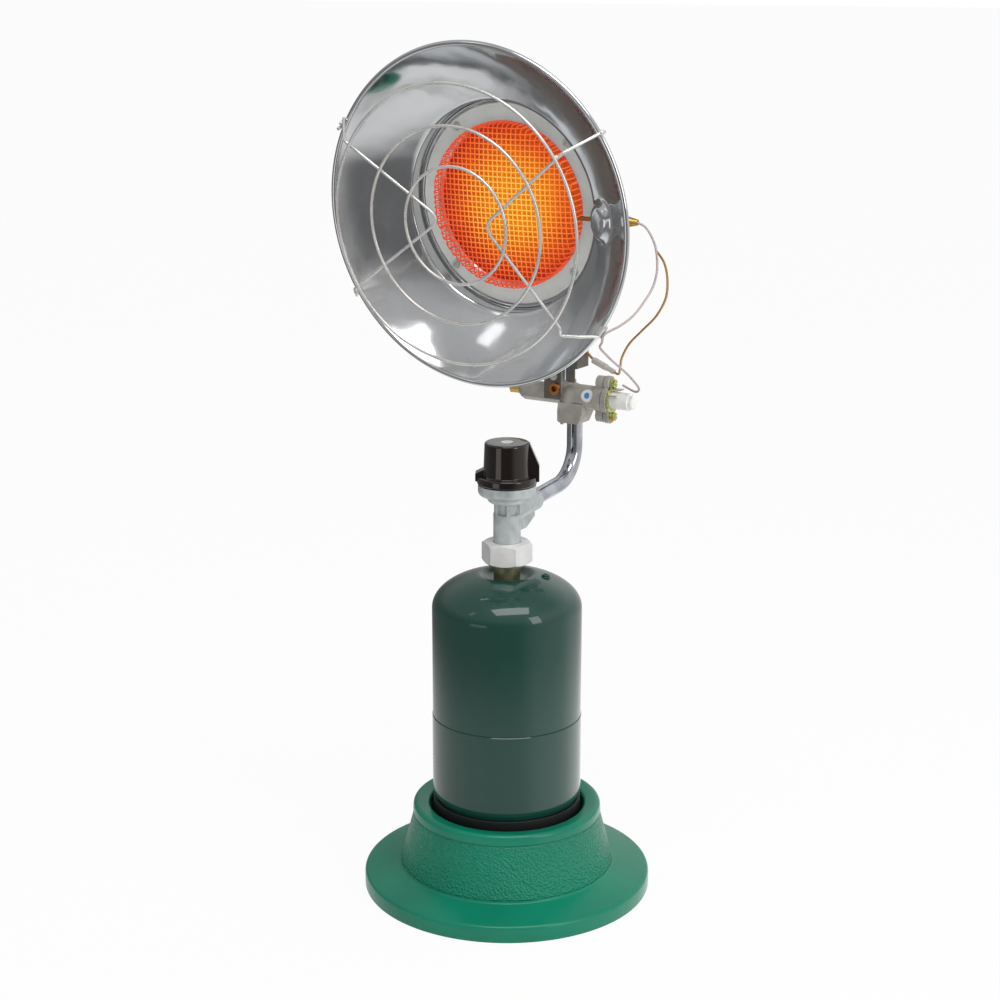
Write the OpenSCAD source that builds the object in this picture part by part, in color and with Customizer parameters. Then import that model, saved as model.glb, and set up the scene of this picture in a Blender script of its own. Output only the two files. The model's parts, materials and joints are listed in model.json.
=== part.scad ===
// Portable propane heater: a disposable cylinder stands in a round base and
// carries a regulator, an arm, a safety valve and a tilting radiant head.
// Millimetres, +Z up. The origin is on the floor at the cylinder's axis,
// and the dish faces -Y.

/* [Base] */
// Diameter of the flange on the floor
base_d = 191; // [170:1:220]
// Height of the flange's outer lip
lip_h = 10.6; // [8:0.1:14]
// Wall of the base moulding
base_wall = 2.4; // [1.8:0.1:3]
// Diameter of the cone where it meets the flange
cone_foot_d = 143; // [138:1:150]
// Height of the cone's foot above the floor
cone_foot_z = 15.4; // [14:0.1:18]
// Diameter of the cone under the smooth rim
cone_top_d = 124; // [122:1:128]
// Height of the underside of the smooth rim
rim_foot_z = 51.5; // [50:0.1:54]
// Height of the rim's crest
rim_top_z = 58.6; // [57:0.1:62]
// Clearance between the cylinder and the cup
cup_gap = 2.2; // [1:0.1:3]
// Height of the cup's floor
cup_floor_z = 42; // [38:0.5:45]
// Diameter of the middle foot that stands on the floor
hub_d = 14; // [10:1:30]
// Number of ribs under the cup
rib_count = 6; // [4:1:8]
// Thickness of a rib
rib_t = 2; // [1.5:0.1:3]

/* [Cylinder] */
// Diameter of the steel cylinder
tank_d = 98; // [96:0.5:99]
// Length of the shells up to the dome
tank_body_h = 139; // [125:1:150]
// Height of the dome
dome_h = 24.6; // [22:0.1:28]
// Wall of the steel shells
tank_wall = 1.4; // [1.2:0.1:1.8]
// Height of the seam above the bottom of the shells
seam_h = 66; // [50:1:80]
// Radius of the bottom corner
tank_corner_r = 16; // [14:0.5:18]
// Height of the black foot ring
foot_h = 20; // [18:0.5:22]
// Height of the ledge that the shells stand on
foot_ledge_h = 12; // [8:0.5:13]
// Radius of the sunk ring around the neck
recess_r = 13; // [12.6:0.1:14]
// Depth of the sunk ring below the dome's crown
recess_depth = 5; // [4:0.1:6]
// Distance of the relief valve from the axis
relief_r = 25; // [22:0.5:30]
// Direction of the relief valve
relief_angle = 24; // [0:1:60]

/* [Cylinder connection] */
// Radius of the neck below the thread
neck_r = 8.7; // [8:0.1:10]
// Length of the neck
neck_h = 9.4; // [8:0.1:11]
// Major radius of the one inch thread
thread_r = 12.6; // [12.4:0.05:12.8]
// Length of the thread
thread_h = 10; // [8:0.1:12]
// Thickness of the rubber seal
seal_t = 1.2; // [1:0.1:2]
// Nut size across its flats
nut_af = 29; // [28.6:0.1:32]
// Direction of one of the nut's corners
nut_angle = 22; // [0:1:60]
// Height of the nut
nut_h = 14; // [12:0.1:16]
// Thickness of the nut's top lip
nut_lip = 2; // [1.5:0.1:3]

/* [Regulator] */
// Radius of the lower stem
stem_r = 8.9; // [8:0.1:9.4]
// Length of the lower stem above the nut
stem_h = 18.7; // [16:0.1:22]
// Length of the ribbed upper stem
upper_stem_h = 7.4; // [6:0.1:10]
// Radius of the round body
reg_body_r = 12.8; // [12:0.1:14]
// Height of the round body
reg_body_h = 8.4; // [8:0.1:10]
// Radius of the body's flange
reg_flange_r = 18.8; // [18.4:0.1:20]
// Thickness of the body's flange
reg_flange_t = 3.6; // [3.4:0.1:5]
// Thickness of the rubber diaphragm
diaphragm_t = 0.8; // [0.6:0.1:1]
// Radius of the bonnet under the knob
bonnet_r = 11.5; // [11:0.1:12.2]
// Height of the bonnet above its flange
bonnet_h = 13; // [12:0.1:14]
// Radius of the knob's spindle
spindle_r = 3.5; // [3:0.1:4]

/* [Knob] */
// Height of the knob
knob_h = 27.3; // [26:0.1:30]
// Radius at the top of the knob
knob_top_r = 14.5; // [14.2:0.1:16]
// Radius of the knob's body above its skirt
knob_foot_r = 15.3; // [15:0.1:17]
// Radius of the skirt
skirt_r = 19.4; // [18.5:0.1:21]
// Height of the skirt
skirt_h = 5.3; // [4:0.1:7]
// Gap between the skirt and the regulator's flange
knob_gap = 0.6; // [0.4:0.1:1.2]
// Radius of the white cap in the top
cap_r = 4; // [3:0.1:5]
// Direction of the pointer fin
fin_angle = 30; // [0:1:90]

/* [Arm] */
// Outer radius of the arm tube
tube_r = 5.3; // [5:0.05:5.5]
// Outer radius of the outlet pipe
outlet_r = 4.75; // [4.5:0.05:5]
// Wall of the chromed tubes
tube_wall = 1; // [0.8:0.1:1.4]
// Distance from the cylinder's axis to the valve's axis
arm_reach = 86.7; // [80:0.1:95]
// Slope of the lower run of the arm
arm_slope = 4.5; // [2:0.5:10]
// Radius of the arm's bend
arm_bend_r = 24; // [18:0.5:26]
// Height of the valve above the corner of the arm
arm_rise = 55.47; // [50:0.01:62]
// How far the arm's boss reaches from the axis
boss_reach = 33; // [30:0.5:38]

/* [Safety valve] */
// Radius of the barrel
barrel_r = 8; // [7.6:0.1:9]
// Distance from the arm to the body's flange
flange_x = 18; // [16:0.1:20]
// Thickness of the body's flange
flange_t = 5.6; // [4:0.1:6]
// Thickness of the cover
cover_t = 4.4; // [4:0.1:6]
// Distance between the two cover screws
cover_screw_pitch = 22.2; // [21.6:0.1:26]
// Thickness of the zinc plate
zinc_t = 1.2; // [1:0.1:2]
// Length of the six-sided arm to its end
side_arm_l = 41.8; // [36:0.1:46]
// Size of the six-sided arm across its flats
side_arm_af = 11.9; // [10:0.1:12.5]
// Length of the end plug outside the arm
plug_l = 8.3; // [4:0.1:10]
// Offset of the outlet pipe from the arm tube
outlet_offset = 6; // [5:0.1:7]
// Radius of the button
button_r = 5.8; // [5:0.1:6]
// Length of the button outside the plate
button_l = 16.2; // [14:0.1:20]
// Travel of the button
button_travel = 5; // [3:0.1:5]

/* [Tilt] */
// Height of the tilt axis above the valve's axis
pivot_rise = 34; // [32:0.1:38]
// Forward lean of the head at rest
head_lean = 6.3; // [0:0.1:10]
// Distance from the tilt axis to the plane of the rim
head_reach = 104; // [98:0.5:110]
// Height of the dish's axis above the tilt axis
head_rise = 108.2; // [102:0.1:116]
// Half of the width between the bracket's ears
ear_half = 11.2; // [11.2:0.1:14]
// Thickness of the bracket's sheet
bracket_t = 1.5; // [1.2:0.1:2]

/* [Head] */
// Outer radius of the rolled rim
rim_r = 107.3; // [100:0.1:112]
// Radius of the rim's roll
roll_r = 1.7; // [1.4:0.1:2.2]
// Radius of the dish's neck
throat_r = 66.5; // [65.5:0.1:70]
// Depth from the rim to the neck
bowl_depth = 30; // [26:0.1:34]
// Depth from the rim to the burner's seat
seat_depth = 42.2; // [40:0.1:46]
// Thickness of the dish's sheet
dish_t = 0.8; // [0.6:0.1:1]
// How far the bowl's curve bulges from a cone
bowl_bulge = 3; // [1:0.1:5]
// Radius of the burner's mesh
mesh_r = 52.6; // [50:0.1:54]
// Height of the mesh's side wall
mesh_wall_h = 10.6; // [8:0.1:12]
// Height of the mesh's crown over its wall
mesh_crown_h = 3.4; // [2:0.1:5]
// Outer radius of the trim ring
trim_r = 63.8; // [63:0.1:65]
// Depth of the burner's pan
pan_depth = 23; // [20:0.5:26]
// Radius of the mixing tube
mixer_r = 9.5; // [9:0.1:11]
// Radius of the mixing tube's elbow
elbow_r = 26; // [22:0.5:28]
// Radius of the circle of burner screws
burner_screw_r = 59.6; // [58:0.1:60.5]

/* [Guard] */
// Radius of the guard's wire
wire_r = 1; // [0.8:0.05:1.3]
// Radius of the outer guard ring
guard_outer_r = 85.8; // [80:0.1:90]
// Radius of the middle guard ring
guard_mid_r = 60.5; // [55:0.1:65]
// Radius of the inner guard ring
guard_inner_r = 36; // [30:0.1:40]
// How far the outer ring stands in front of the rim
guard_stand = 24; // [20:0.1:28]
// How much nearer to the dish the inner ring lies
guard_dip = 2.2; // [1:0.1:3]

/* [Thermocouple] */
// Distance of the thermocouple's tip from the dish's axis
tc_tip_r = 55.5; // [55:0.1:58]
// How far the fitting's outer end lies inside the rim
tc_inset = 12.3; // [8:0.1:16]
// Depth of the thermocouple behind the rim
tc_depth = 33.5; // [33:0.1:35]
// How far the thermocouple lies below the dish's axis
tc_drop = 3.6; // [0:0.1:6]
// Radius of the fitting
tc_fit_r = 3; // [2.6:0.1:3.4]
// Radius of the leads
lead_r = 0.75; // [0.6:0.05:0.9]

/* [Hidden] */
$fn = 96;
eps = 0.01;
run = 0.1;          // running clearance of a turning or sliding piece

// Base
base_r = base_d / 2;
cone_foot_r = cone_foot_d / 2;
cone_top_r = cone_top_d / 2;
tank_r = tank_d / 2;
cup_r = tank_r + cup_gap;
cup_wall_r = cup_r + base_wall;
lip_corner = 2.4;   // rounding of the flange's outer edge
rim_inner_drop = 1.6;
rim_round = 6.3;     // rounding of the smooth rim's outer side
rim_inner_round = 1.4;
rim_inner_z = rim_top_z - rim_inner_drop - rim_inner_round;

// Cylinder, from the cup's floor upwards
tank_z = cup_floor_z + foot_ledge_h;
seam_z = tank_z + seam_h;
shoulder_z = tank_z + tank_body_h;
crown_z = shoulder_z + dome_h;
recess_z = crown_z - recess_depth;
recess_slope = 3.6; // width of the slope into the sunk ring
seam_step = 0.3;    // the lower shell is this much larger than the upper one
joggle_h = 6;       // overlap of the two shells
relief_body_r = 2.2;
lower_shell_r = tank_r + seam_step;

// Connection
thread_z = recess_z + neck_h;
thread_top_z = thread_z + thread_h;
seal_top_z = thread_top_z + seal_t;
collar_t = 1.8;
collar_r = thread_r - 0.8;
collar_top_z = seal_top_z + collar_t;
nut_top_z = collar_top_z + 0.2 + nut_lip;
valve_bore_r = 6.2;
nose_r = 4.6;
nose_l = 6.4;
pin_r = 1.5;

// Regulator
stem_step_z = nut_top_z + stem_h;
reg_body_z = stem_step_z + upper_stem_h;
reg_flange_z = reg_body_z + reg_body_h;
reg_top_z = reg_flange_z + reg_flange_t;
chamber_r = reg_flange_r - 1.8;
chamber_z = reg_top_z - 1.9 - diaphragm_t;
bonnet_cavity_r = bonnet_r - 2;
bonnet_top_z = reg_top_z + bonnet_h;
spring_cap_t = 1.6;
spring_cap_z = reg_top_z + 5.6;

// Knob
knob_z = reg_top_z + knob_gap;
skirt_top_z = knob_z + skirt_h;
knob_top_z = knob_z + knob_h;
knob_roof_z = bonnet_top_z + 1.2;
cap_t = 1;

// Arm
arm_root_z = stem_step_z - 0.2;
arm_corner_z = arm_root_z + arm_reach * tan(arm_slope);
valve_z = arm_corner_z + arm_rise;
arm_turn = 90 - arm_slope;
arm_tangent = arm_bend_r * tan(arm_turn / 2);
arm_straight = arm_reach / cos(arm_slope) - arm_tangent;
arm_in = 20;        // the arm's lower end inside the boss
boss_r = tube_r + 2.4;
arm_socket = 11.4;  // the arm's upper end below the valve's axis
upright_step = 0.02;
upright_r = tube_r + upright_step;

// Safety valve, its axis along X at y = arm_reach, z = valve_z
clamp_top = -9.5;
clamp_bottom = -18;
clamp_half_y = 8;
cover_x = flange_x + flange_t;
gasket_t = 0.5;
zinc_x = cover_x + cover_t;
ear_r = 4.6;
flange_disc_r = 9;
bore_r = 5.5;
bore_x0 = -7;
shoulder_r = 7;
button_lip_r = 6.7;
button_lip_t = 1.4;
button_x0 = zinc_x - 0.2 - button_lip_t;
button_tip_x = zinc_x + zinc_t + button_l;
button_tip_l = 3.4;
button_wall = 1.3;
counterbore_x = button_x0 - button_travel - 0.6;
magnet_x = 8.5;
magnet_l = counterbore_x - magnet_x;
seat_x = 3.3;
seat_t = 2.2;
plunger_r = 1.6;
disc_r = 4.6;
cover_screw_r = 1.5;
screw_end = 0.4;    // from the back of the flange to the end of a cover screw
outlet_boss_r = outlet_r + 1.25;
outlet_boss_h = 10.3;
outlet_seat_z = 6.4;
pad_y = -8;         // front of the pad for the bracket, from the valve's axis
pad_x = -18.4;
pad_w = 12.2;
pad_foot_z = -2;
pad_top_z = 17;
pad_screw_in = 3;   // how deep the nipple and the bracket's screw go into the pad
nipple_x = -9.7;
nipple_r = 4;
nipple_z = 5.4;
nipple_shank = 2.6;
screw_head_r = 2.7;
bracket_screw_r = 1.5;
bracket_screw_z = 13.7;
bracket_screw_x = -10.7;
clamp_screw_x = -6.8;
clamp_screw_y = -5.6;
clamp_screw_r = 1.2;
dot_x = 13.3;
dot_r = 4.3;
dot_turn = 19;      // the dot sits this far above the front of the barrel
pivot_z = valve_z + pivot_rise;
head_x = -outlet_offset;

// Head, with w measured forwards from the plane of the rim
seat_w = -seat_depth;
throat_w = -bowl_depth;
flange_in_r = 50;
plate_t = 0.4;
pan_flange_t = 0.8;
pan_front_w = seat_w - dish_t - plate_t;
pan_back_w = pan_front_w - pan_depth;
pan_r = 57;
mesh_t = 0.8;
mesh_corner = 4;
emitter_r = 46;
emitter_rise = 5.6;
trim_t = 0.8;
trim_roll_r = 0.6;
burner_screw_angles = [43, 127, 224, 318];
burner_screw_shank = 1.5;
burner_screw_head = 2.9;
mixer_wall = 0.8;
mixer_foot = 12;    // the mixing tube starts this far above the tilt axis
yoke_gap = 0.25;
ear_round = 6;
pivot_r = 2;
tc_end_r = rim_r - tc_inset;

// Guard, in the dish's plane: u to the right, v upwards
wire_gap = 0.06;
left_vertex = [-12, 2.5];
right_vertex = [18.5, 0.5];
left_angles = [148, 210];
right_angles = [31.5, -39];
vertex_cut = 9;     // length of a leg that the vertex's rounding takes
clip_angle = -37.5;
clip_span = 3;
clip_t = 1.6;

// Routes of the leads, as points chosen by hand
lead_points = [
    [89, 4.7, 448.2], [94, 5, 446], [97.5, 7, 440], [99.6, 9, 432], [100, 10, 420], [99, 7, 410],
    [97.5, -1, 402], [95, -10, 394.5], [90, -17, 389], [82.6, -22.4, 384], [79.2, -19.8, 378.2],
    [72.5, -10, 373], [69, 4, 366], [65.5, 20, 358.5], [64, 42, 346.5], [59, 66, 333.5],
    [53, 76, 328.2], [46.5, 82, 327], [36.5, 86.7, 328.8]];
switch_points = [
    [99.7, 9.4, 431.4], [102.6, 14, 424], [102, 20, 413], [97, 28, 400], [87, 35, 387],
    [74, 42, 376], [61, 49, 365], [52, 56, 354], [48.4, 60.5, 346.5], [45.4, 64.2, 341.2],
    [41.8, 65.3, 341.6]];

// Tip-over switch behind the right ear, its tail, and the connector that joins tail and lead
switch_size = [9, 10, 16];
switch_lift = 7;    // from the tilt axis up to the switch
switch_at = [head_x + ear_half + bracket_t, arm_reach - switch_size[1] / 2, pivot_z + switch_lift];
connector_start = [23.8, 69, 347.4];
connector_end = [41.3, 65.4, 341.9];
connector_r = 2.2;
tail_r = 0.9;
tail_points = [
    [11.2, 82.4, 366], [12, 78, 363.6], [14.8, 73.6, 357.4], [18.6, 70.6, 351.4], [25, 68.8, 347.1]];

function arc(cx, cy, r, a0, a1, n) =
    [for (i = [0:n]) [cx + r * cos(a0 + (a1 - a0) * i / n), cy + r * sin(a0 + (a1 - a0) * i / n)]];

function unit(v) = v / norm(v);

// Tangent at point i of a path
function tangent(p, i) = unit(p[min(i + 1, len(p) - 1)] - p[max(i - 1, 0)]);

function across(n, t) = unit(n - (n * t) * t);

// Normals that turn as little as they can along a path
function normals(p, i = 0, n = [0, 0, 0]) =
    let (t = tangent(p, i),
         first = abs(t[2]) < 0.9 ? [0, 0, 1] : [1, 0, 0],
         m = across(i == 0 ? first : n, t))
    i == len(p) - 1 ? [m] : concat([m], normals(p, i + 1, m));

// A smooth path through hand-chosen points
function smooth(p, k) = concat(
    [for (i = [0:len(p) - 2], j = [0:k - 1])
        let (a = p[max(i - 1, 0)], b = p[i], c = p[i + 1], d = p[min(i + 2, len(p) - 1)], s = j / k)
        0.5 * (2 * b + (c - a) * s + (2 * a - 5 * b + 4 * c - d) * s * s
            + (3 * b - a - 3 * c + d) * s * s * s)],
    [p[len(p) - 1]]);

// A bend of k steps that rounds the corner b between a and c
function corner(a, b, c, cut, k) =
    let (p = b + unit(a - b) * cut, q = b + unit(c - b) * cut)
    [for (i = [0:k]) let (s = i / k) (1 - s) * (1 - s) * p + 2 * s * (1 - s) * b + s * s * q];

// A round wire swept along a path
module wire(p, r, sides = 8) {
    n = normals(p);
    rings = [for (i = [0:len(p) - 1])
        let (t = tangent(p, i), b = cross(t, n[i]))
        for (k = [0:sides - 1]) p[i] + r * (cos(360 * k / sides) * n[i] + sin(360 * k / sides) * b)];
    last = (len(p) - 1) * sides;
    polyhedron(
        points = rings,
        faces = concat(
            [[for (k = [sides - 1:-1:0]) k]],
            [for (i = [0:len(p) - 2], k = [0:sides - 1])
                [i * sides + k, i * sides + (k + 1) % sides,
                 (i + 1) * sides + (k + 1) % sides, (i + 1) * sides + k]],
            [[for (k = [0:sides - 1]) last + k]]));
}

module ring(r_out, r_in, h) {
    difference() {
        cylinder(r = r_out, h = h);
        translate([0, 0, -1]) cylinder(r = r_in, h = h + 2);
    }
}

// A coil spring of round wire, standing on z = 0
module spring(r, wire_radius, h, turns) {
    steps = 12;
    wire([for (i = [0:turns * steps])
        [r * cos(360 * i / steps), r * sin(360 * i / steps),
         wire_radius + (h - 2 * wire_radius) * i / (turns * steps)]], wire_radius, 6);
}

// ---------------------------------------------------------------- places
module on_valve_axis() translate([0, arm_reach, valve_z]) children();
// z of the children runs along +X
module along_x() rotate([0, 90, 0]) children();
// z of the children runs along -Y
module towards_front() rotate([90, 0, 0]) children();
module in_head() translate([head_x, arm_reach, pivot_z]) rotate([head_lean, 0, 0]) children();
// u right, v up and w forwards, from the middle of the rim's plane
module on_dish() in_head() translate([0, -head_reach, head_rise]) towards_front() children();
module on_thermocouple() on_dish() translate([0, -tc_drop, -tc_depth]) children();
module at_angles(r, angles) for (a = angles) rotate([0, 0, a]) translate([r, 0, 0]) children();

// ---------------------------------------------------------------- base
module base_stand() color("#0f8a66") {
    slope = (cone_foot_r - cone_top_r) / (rim_foot_z - cone_foot_z);
    under_z = cup_floor_z - base_wall;
    roof_z = rim_foot_z - 1;
    roof_r = cone_top_r - base_wall + slope;
    foot_r = cone_foot_r - base_wall;
    rotate_extrude() polygon(concat(
        [[base_r - base_wall, 0], [base_r, 0]],
        arc(base_r - lip_corner, lip_h - lip_corner, lip_corner, 0, 75, 4),
        [[cone_foot_r, cone_foot_z], [cone_top_r, rim_foot_z - 0.6], [cone_top_r + 0.5, rim_foot_z]],
        arc(cone_top_r + 0.5 - rim_round, rim_top_z - rim_round, rim_round, 10, 100, 6),
        arc(cup_r + rim_inner_round, rim_inner_z, rim_inner_round, 100, 180, 3),
        [[cup_r, cup_floor_z], [0, cup_floor_z], [0, under_z], [cup_wall_r, under_z],
         [cup_wall_r, roof_z], [roof_r, roof_z], [foot_r, cone_foot_z - base_wall],
         [base_r - base_wall - 1, lip_h - base_wall - 0.5],
         [base_r - base_wall, lip_h - base_wall - 1.5]]));
    cylinder(d = hub_d, h = under_z + eps);
    for (i = [0:rib_count - 1]) rotate([0, 0, 360 * i / rib_count])
        translate([0, rib_t / 2, 0]) rotate([90, 0, 0]) linear_extrude(rib_t) polygon([
            [hub_d / 2 - 1, 2], [base_r - base_wall + eps, 2],
            [base_r - base_wall - 1 + eps, lip_h - base_wall - 0.5],
            [foot_r + eps, cone_foot_z - base_wall + eps], [foot_r - slope * 20, under_z - 4],
            [cup_wall_r, under_z + eps], [hub_d / 2 - 1, under_z + eps]]);
}

// ---------------------------------------------------------------- cylinder
module cylinder_lower_shell() color("#12392f") rotate_extrude() polygon(concat(
    [[0, tank_z]],
    arc(lower_shell_r - tank_corner_r, tank_z + tank_corner_r, tank_corner_r, -90, 0, 8),
    [[lower_shell_r, seam_z], [lower_shell_r - tank_wall, seam_z]],
    arc(lower_shell_r - tank_corner_r, tank_z + tank_corner_r, tank_corner_r - tank_wall, 0, -90, 8),
    [[0, tank_z + tank_wall]]));

function dome_z(r, wall) =
    shoulder_z + (dome_h - wall) * sqrt(1 - pow(r / (tank_r - wall), 2));

module cylinder_upper_shell() color("#12392f") {
    tongue_r = lower_shell_r - tank_wall - 0.05;
    outer = [for (i = [0:14]) let (a = 6 * i) if (tank_r * cos(a) > recess_r + recess_slope)
        [tank_r * cos(a), shoulder_z + dome_h * sin(a)]];
    inner_r = tank_r - tank_wall;
    inner = [for (i = [14:-1:0]) let (a = 6 * i) if (inner_r * cos(a) > recess_r + recess_slope)
        [inner_r * cos(a), shoulder_z + (dome_h - tank_wall) * sin(a)]];
    difference() {
        rotate_extrude() polygon(concat(
            [[tongue_r, seam_z - joggle_h], [tongue_r, seam_z], [tank_r, seam_z]],
            outer,
            [[recess_r + recess_slope, dome_z(recess_r + recess_slope, 0)], [recess_r, recess_z],
             [neck_r, recess_z], [neck_r, recess_z - tank_wall], [recess_r, recess_z - tank_wall],
             [recess_r + recess_slope, dome_z(recess_r + recess_slope, tank_wall)]],
            inner,
            [[inner_r, seam_z], [tongue_r - tank_wall, seam_z], [tongue_r - tank_wall, seam_z - joggle_h]]));
        rotate([0, 0, relief_angle]) translate([relief_r, 0, shoulder_z])
            cylinder(r = relief_body_r, h = dome_h);
    }
}

module cylinder_foot_ring() color("#161616") {
    ledge_z = tank_z - 2;
    difference() {
        translate([0, 0, cup_floor_z]) cylinder(r = tank_r, h = foot_h);
        translate([0, 0, cup_floor_z - 1]) cylinder(r = tank_r - 2, h = foot_ledge_h - 1);
        translate([0, 0, ledge_z - 1]) cylinder(r = tank_r - 14, h = foot_h);
        rotate_extrude() polygon(concat(
            [[tank_r - 14.5, tank_z]],
            arc(lower_shell_r - tank_corner_r, tank_z + tank_corner_r, tank_corner_r + 0.05, -85, -20, 8),
            [[tank_r - 14.5, cup_floor_z + foot_h + 3]]));
    }
}

module relief_valve() color("#0d2c25") {
    top_z = dome_z(relief_r, 0) + 1.6;
    foot_z = dome_z(relief_r, tank_wall) - 4;
    rotate([0, 0, relief_angle]) translate([relief_r, 0, 0]) difference() {
        translate([0, 0, foot_z]) cylinder(r = relief_body_r, h = top_z - foot_z);
        translate([0, 0, top_z - 1]) cylinder(r = relief_body_r - 1, h = 2);
    }
}

module cylinder_valve() color("#a89a63") difference() {
    union() {
        translate([0, 0, recess_z - tank_wall - 1.6]) cylinder(r = recess_r - 1, h = 1.6);
        translate([0, 0, recess_z - tank_wall - 0.5])
            cylinder(r = neck_r, h = thread_z - recess_z + tank_wall + 1);
        translate([0, 0, thread_z]) cylinder(r = thread_r, h = thread_h);
    }
    translate([0, 0, thread_z - 2]) cylinder(r = valve_bore_r, h = thread_h + 3);
    translate([0, 0, recess_z - 10]) cylinder(r = pin_r + 0.6, h = thread_z - recess_z + 10);
}

module cylinder_valve_pin() color("#c9a227") {
    floor_z = thread_z - 2;
    translate([0, 0, floor_z]) cylinder(r = 3.4, h = 1.4);
    translate([0, 0, recess_z]) cylinder(r = pin_r, h = seal_top_z - nose_l - 0.2 - recess_z);
}

module inlet_seal() color("#1c1c1c")
    translate([0, 0, thread_top_z]) ring(collar_r - 1.4, valve_bore_r, seal_t);

// ---------------------------------------------------------------- nut
module hex_nut() color("#c4c6c8") difference() {
    intersection() {
        translate([0, 0, nut_top_z - nut_h]) rotate([0, 0, nut_angle])
            cylinder(d = nut_af / cos(30), h = nut_h, $fn = 6);
        rotate_extrude() polygon([
            [0, nut_top_z - nut_h], [nut_af / 2 - 0.4, nut_top_z - nut_h],
            [nut_af / 2 + 2.4, nut_top_z - nut_h + 1.6], [nut_af / 2 + 2.4, nut_top_z - 1.6],
            [nut_af / 2 - 0.4, nut_top_z], [0, nut_top_z]]);
    }
    translate([0, 0, nut_top_z - nut_h - 1]) cylinder(r = thread_r + run, h = nut_h - nut_lip + 1);
    translate([0, 0, nut_top_z - nut_h]) cylinder(r = stem_r + 0.3, h = nut_h + 1);
}

// ---------------------------------------------------------------- regulator
module regulator_body() color("#9aa0a1") {
    rib_r = stem_r - 0.2;
    core_r = stem_r - 2;
    difference() {
        union() {
            translate([0, 0, seal_top_z - nose_l]) cylinder(r = nose_r, h = nose_l + 1);
            translate([0, 0, seal_top_z]) cylinder(r = collar_r, h = collar_t);
            translate([0, 0, seal_top_z]) cylinder(r = stem_r, h = stem_step_z - seal_top_z);
            translate([0, 0, stem_step_z - 1]) cylinder(r = core_r, h = upper_stem_h + 2);
            for (a = [20:72:360]) rotate([0, 0, a]) translate([0, -1.2, stem_step_z - 1])
                cube([rib_r, 2.4, upper_stem_h + 2]);
            rotate_extrude() polygon(concat(
                [[0, reg_body_z]],
                arc(reg_body_r - 3, reg_body_z + 3, 3, -90, 0, 4),
                arc(reg_flange_r - 3.4, reg_flange_z - 0.4, 3.4, -75, 0, 4),
                [[reg_flange_r, reg_top_z], [0, reg_top_z]]));
            // boss of the arm and the web below it
            intersection() {
                translate([0, 0, arm_root_z]) rotate([arm_slope, 0, 0])
                    rotate([-90, 0, 0]) cylinder(r = boss_r, h = boss_reach / cos(arm_slope));
                translate([-20, 0, nut_top_z + 1]) cube([40, boss_reach + 10, knob_z]);
            }
            translate([2, 0, 0]) rotate([0, -90, 0]) linear_extrude(4) polygon([
                [nut_top_z + 4.4, 0], [nut_top_z + 4.4, boss_reach - 12], [nut_top_z + 10, boss_reach - 1.5],
                [arm_root_z + 4, boss_reach - 1.5], [arm_root_z + 4, 0]]);
        }
        // chamber for the diaphragm and the spring's side
        translate([0, 0, chamber_z]) cylinder(r = chamber_r + 0.02, h = reg_top_z);
        translate([0, 0, chamber_z - 3]) cylinder(r = reg_body_r - 3.4, h = 4);
        // gas way in
        translate([0, 0, seal_top_z - nose_l - 1]) cylinder(r = 1.6, h = chamber_z - seal_top_z + nose_l);
        // socket of the arm tube and the way out
        translate([0, 0, arm_root_z]) rotate([arm_slope, 0, 0]) rotate([-90, 0, 0]) {
            translate([0, 0, arm_in]) cylinder(r = tube_r, h = boss_reach);
            cylinder(r = tube_r - tube_wall, h = arm_in + 1);
        }
    }
}

module regulator_diaphragm() color("#2a2a2a")
    translate([0, 0, chamber_z]) cylinder(r = chamber_r, h = diaphragm_t);

module regulator_bonnet() color("#8d9293") {
    flange_z = chamber_z + diaphragm_t;
    difference() {
        union() {
            translate([0, 0, flange_z]) cylinder(r = chamber_r, h = reg_top_z - flange_z);
            translate([0, 0, reg_top_z - 0.5]) cylinder(r = bonnet_r, h = bonnet_h + 0.5);
        }
        translate([0, 0, flange_z - 1]) cylinder(r = bonnet_cavity_r, h = bonnet_top_z - flange_z - 1.5);
        translate([0, 0, flange_z]) cylinder(r = spindle_r + run, h = bonnet_h + 10);
    }
}

module regulator_spring() color("#b8bcc0")
    translate([0, 0, chamber_z + diaphragm_t])
        spring(bonnet_cavity_r - 2, 0.7, spring_cap_z - chamber_z - diaphragm_t, 4);

module knob_spindle() color("#c8ad6a") {
    translate([0, 0, spring_cap_z]) cylinder(r = bonnet_cavity_r - 0.4, h = spring_cap_t);
    translate([0, 0, spring_cap_z]) cylinder(r = spindle_r, h = knob_top_z - 3 - spring_cap_z);
}

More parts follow.
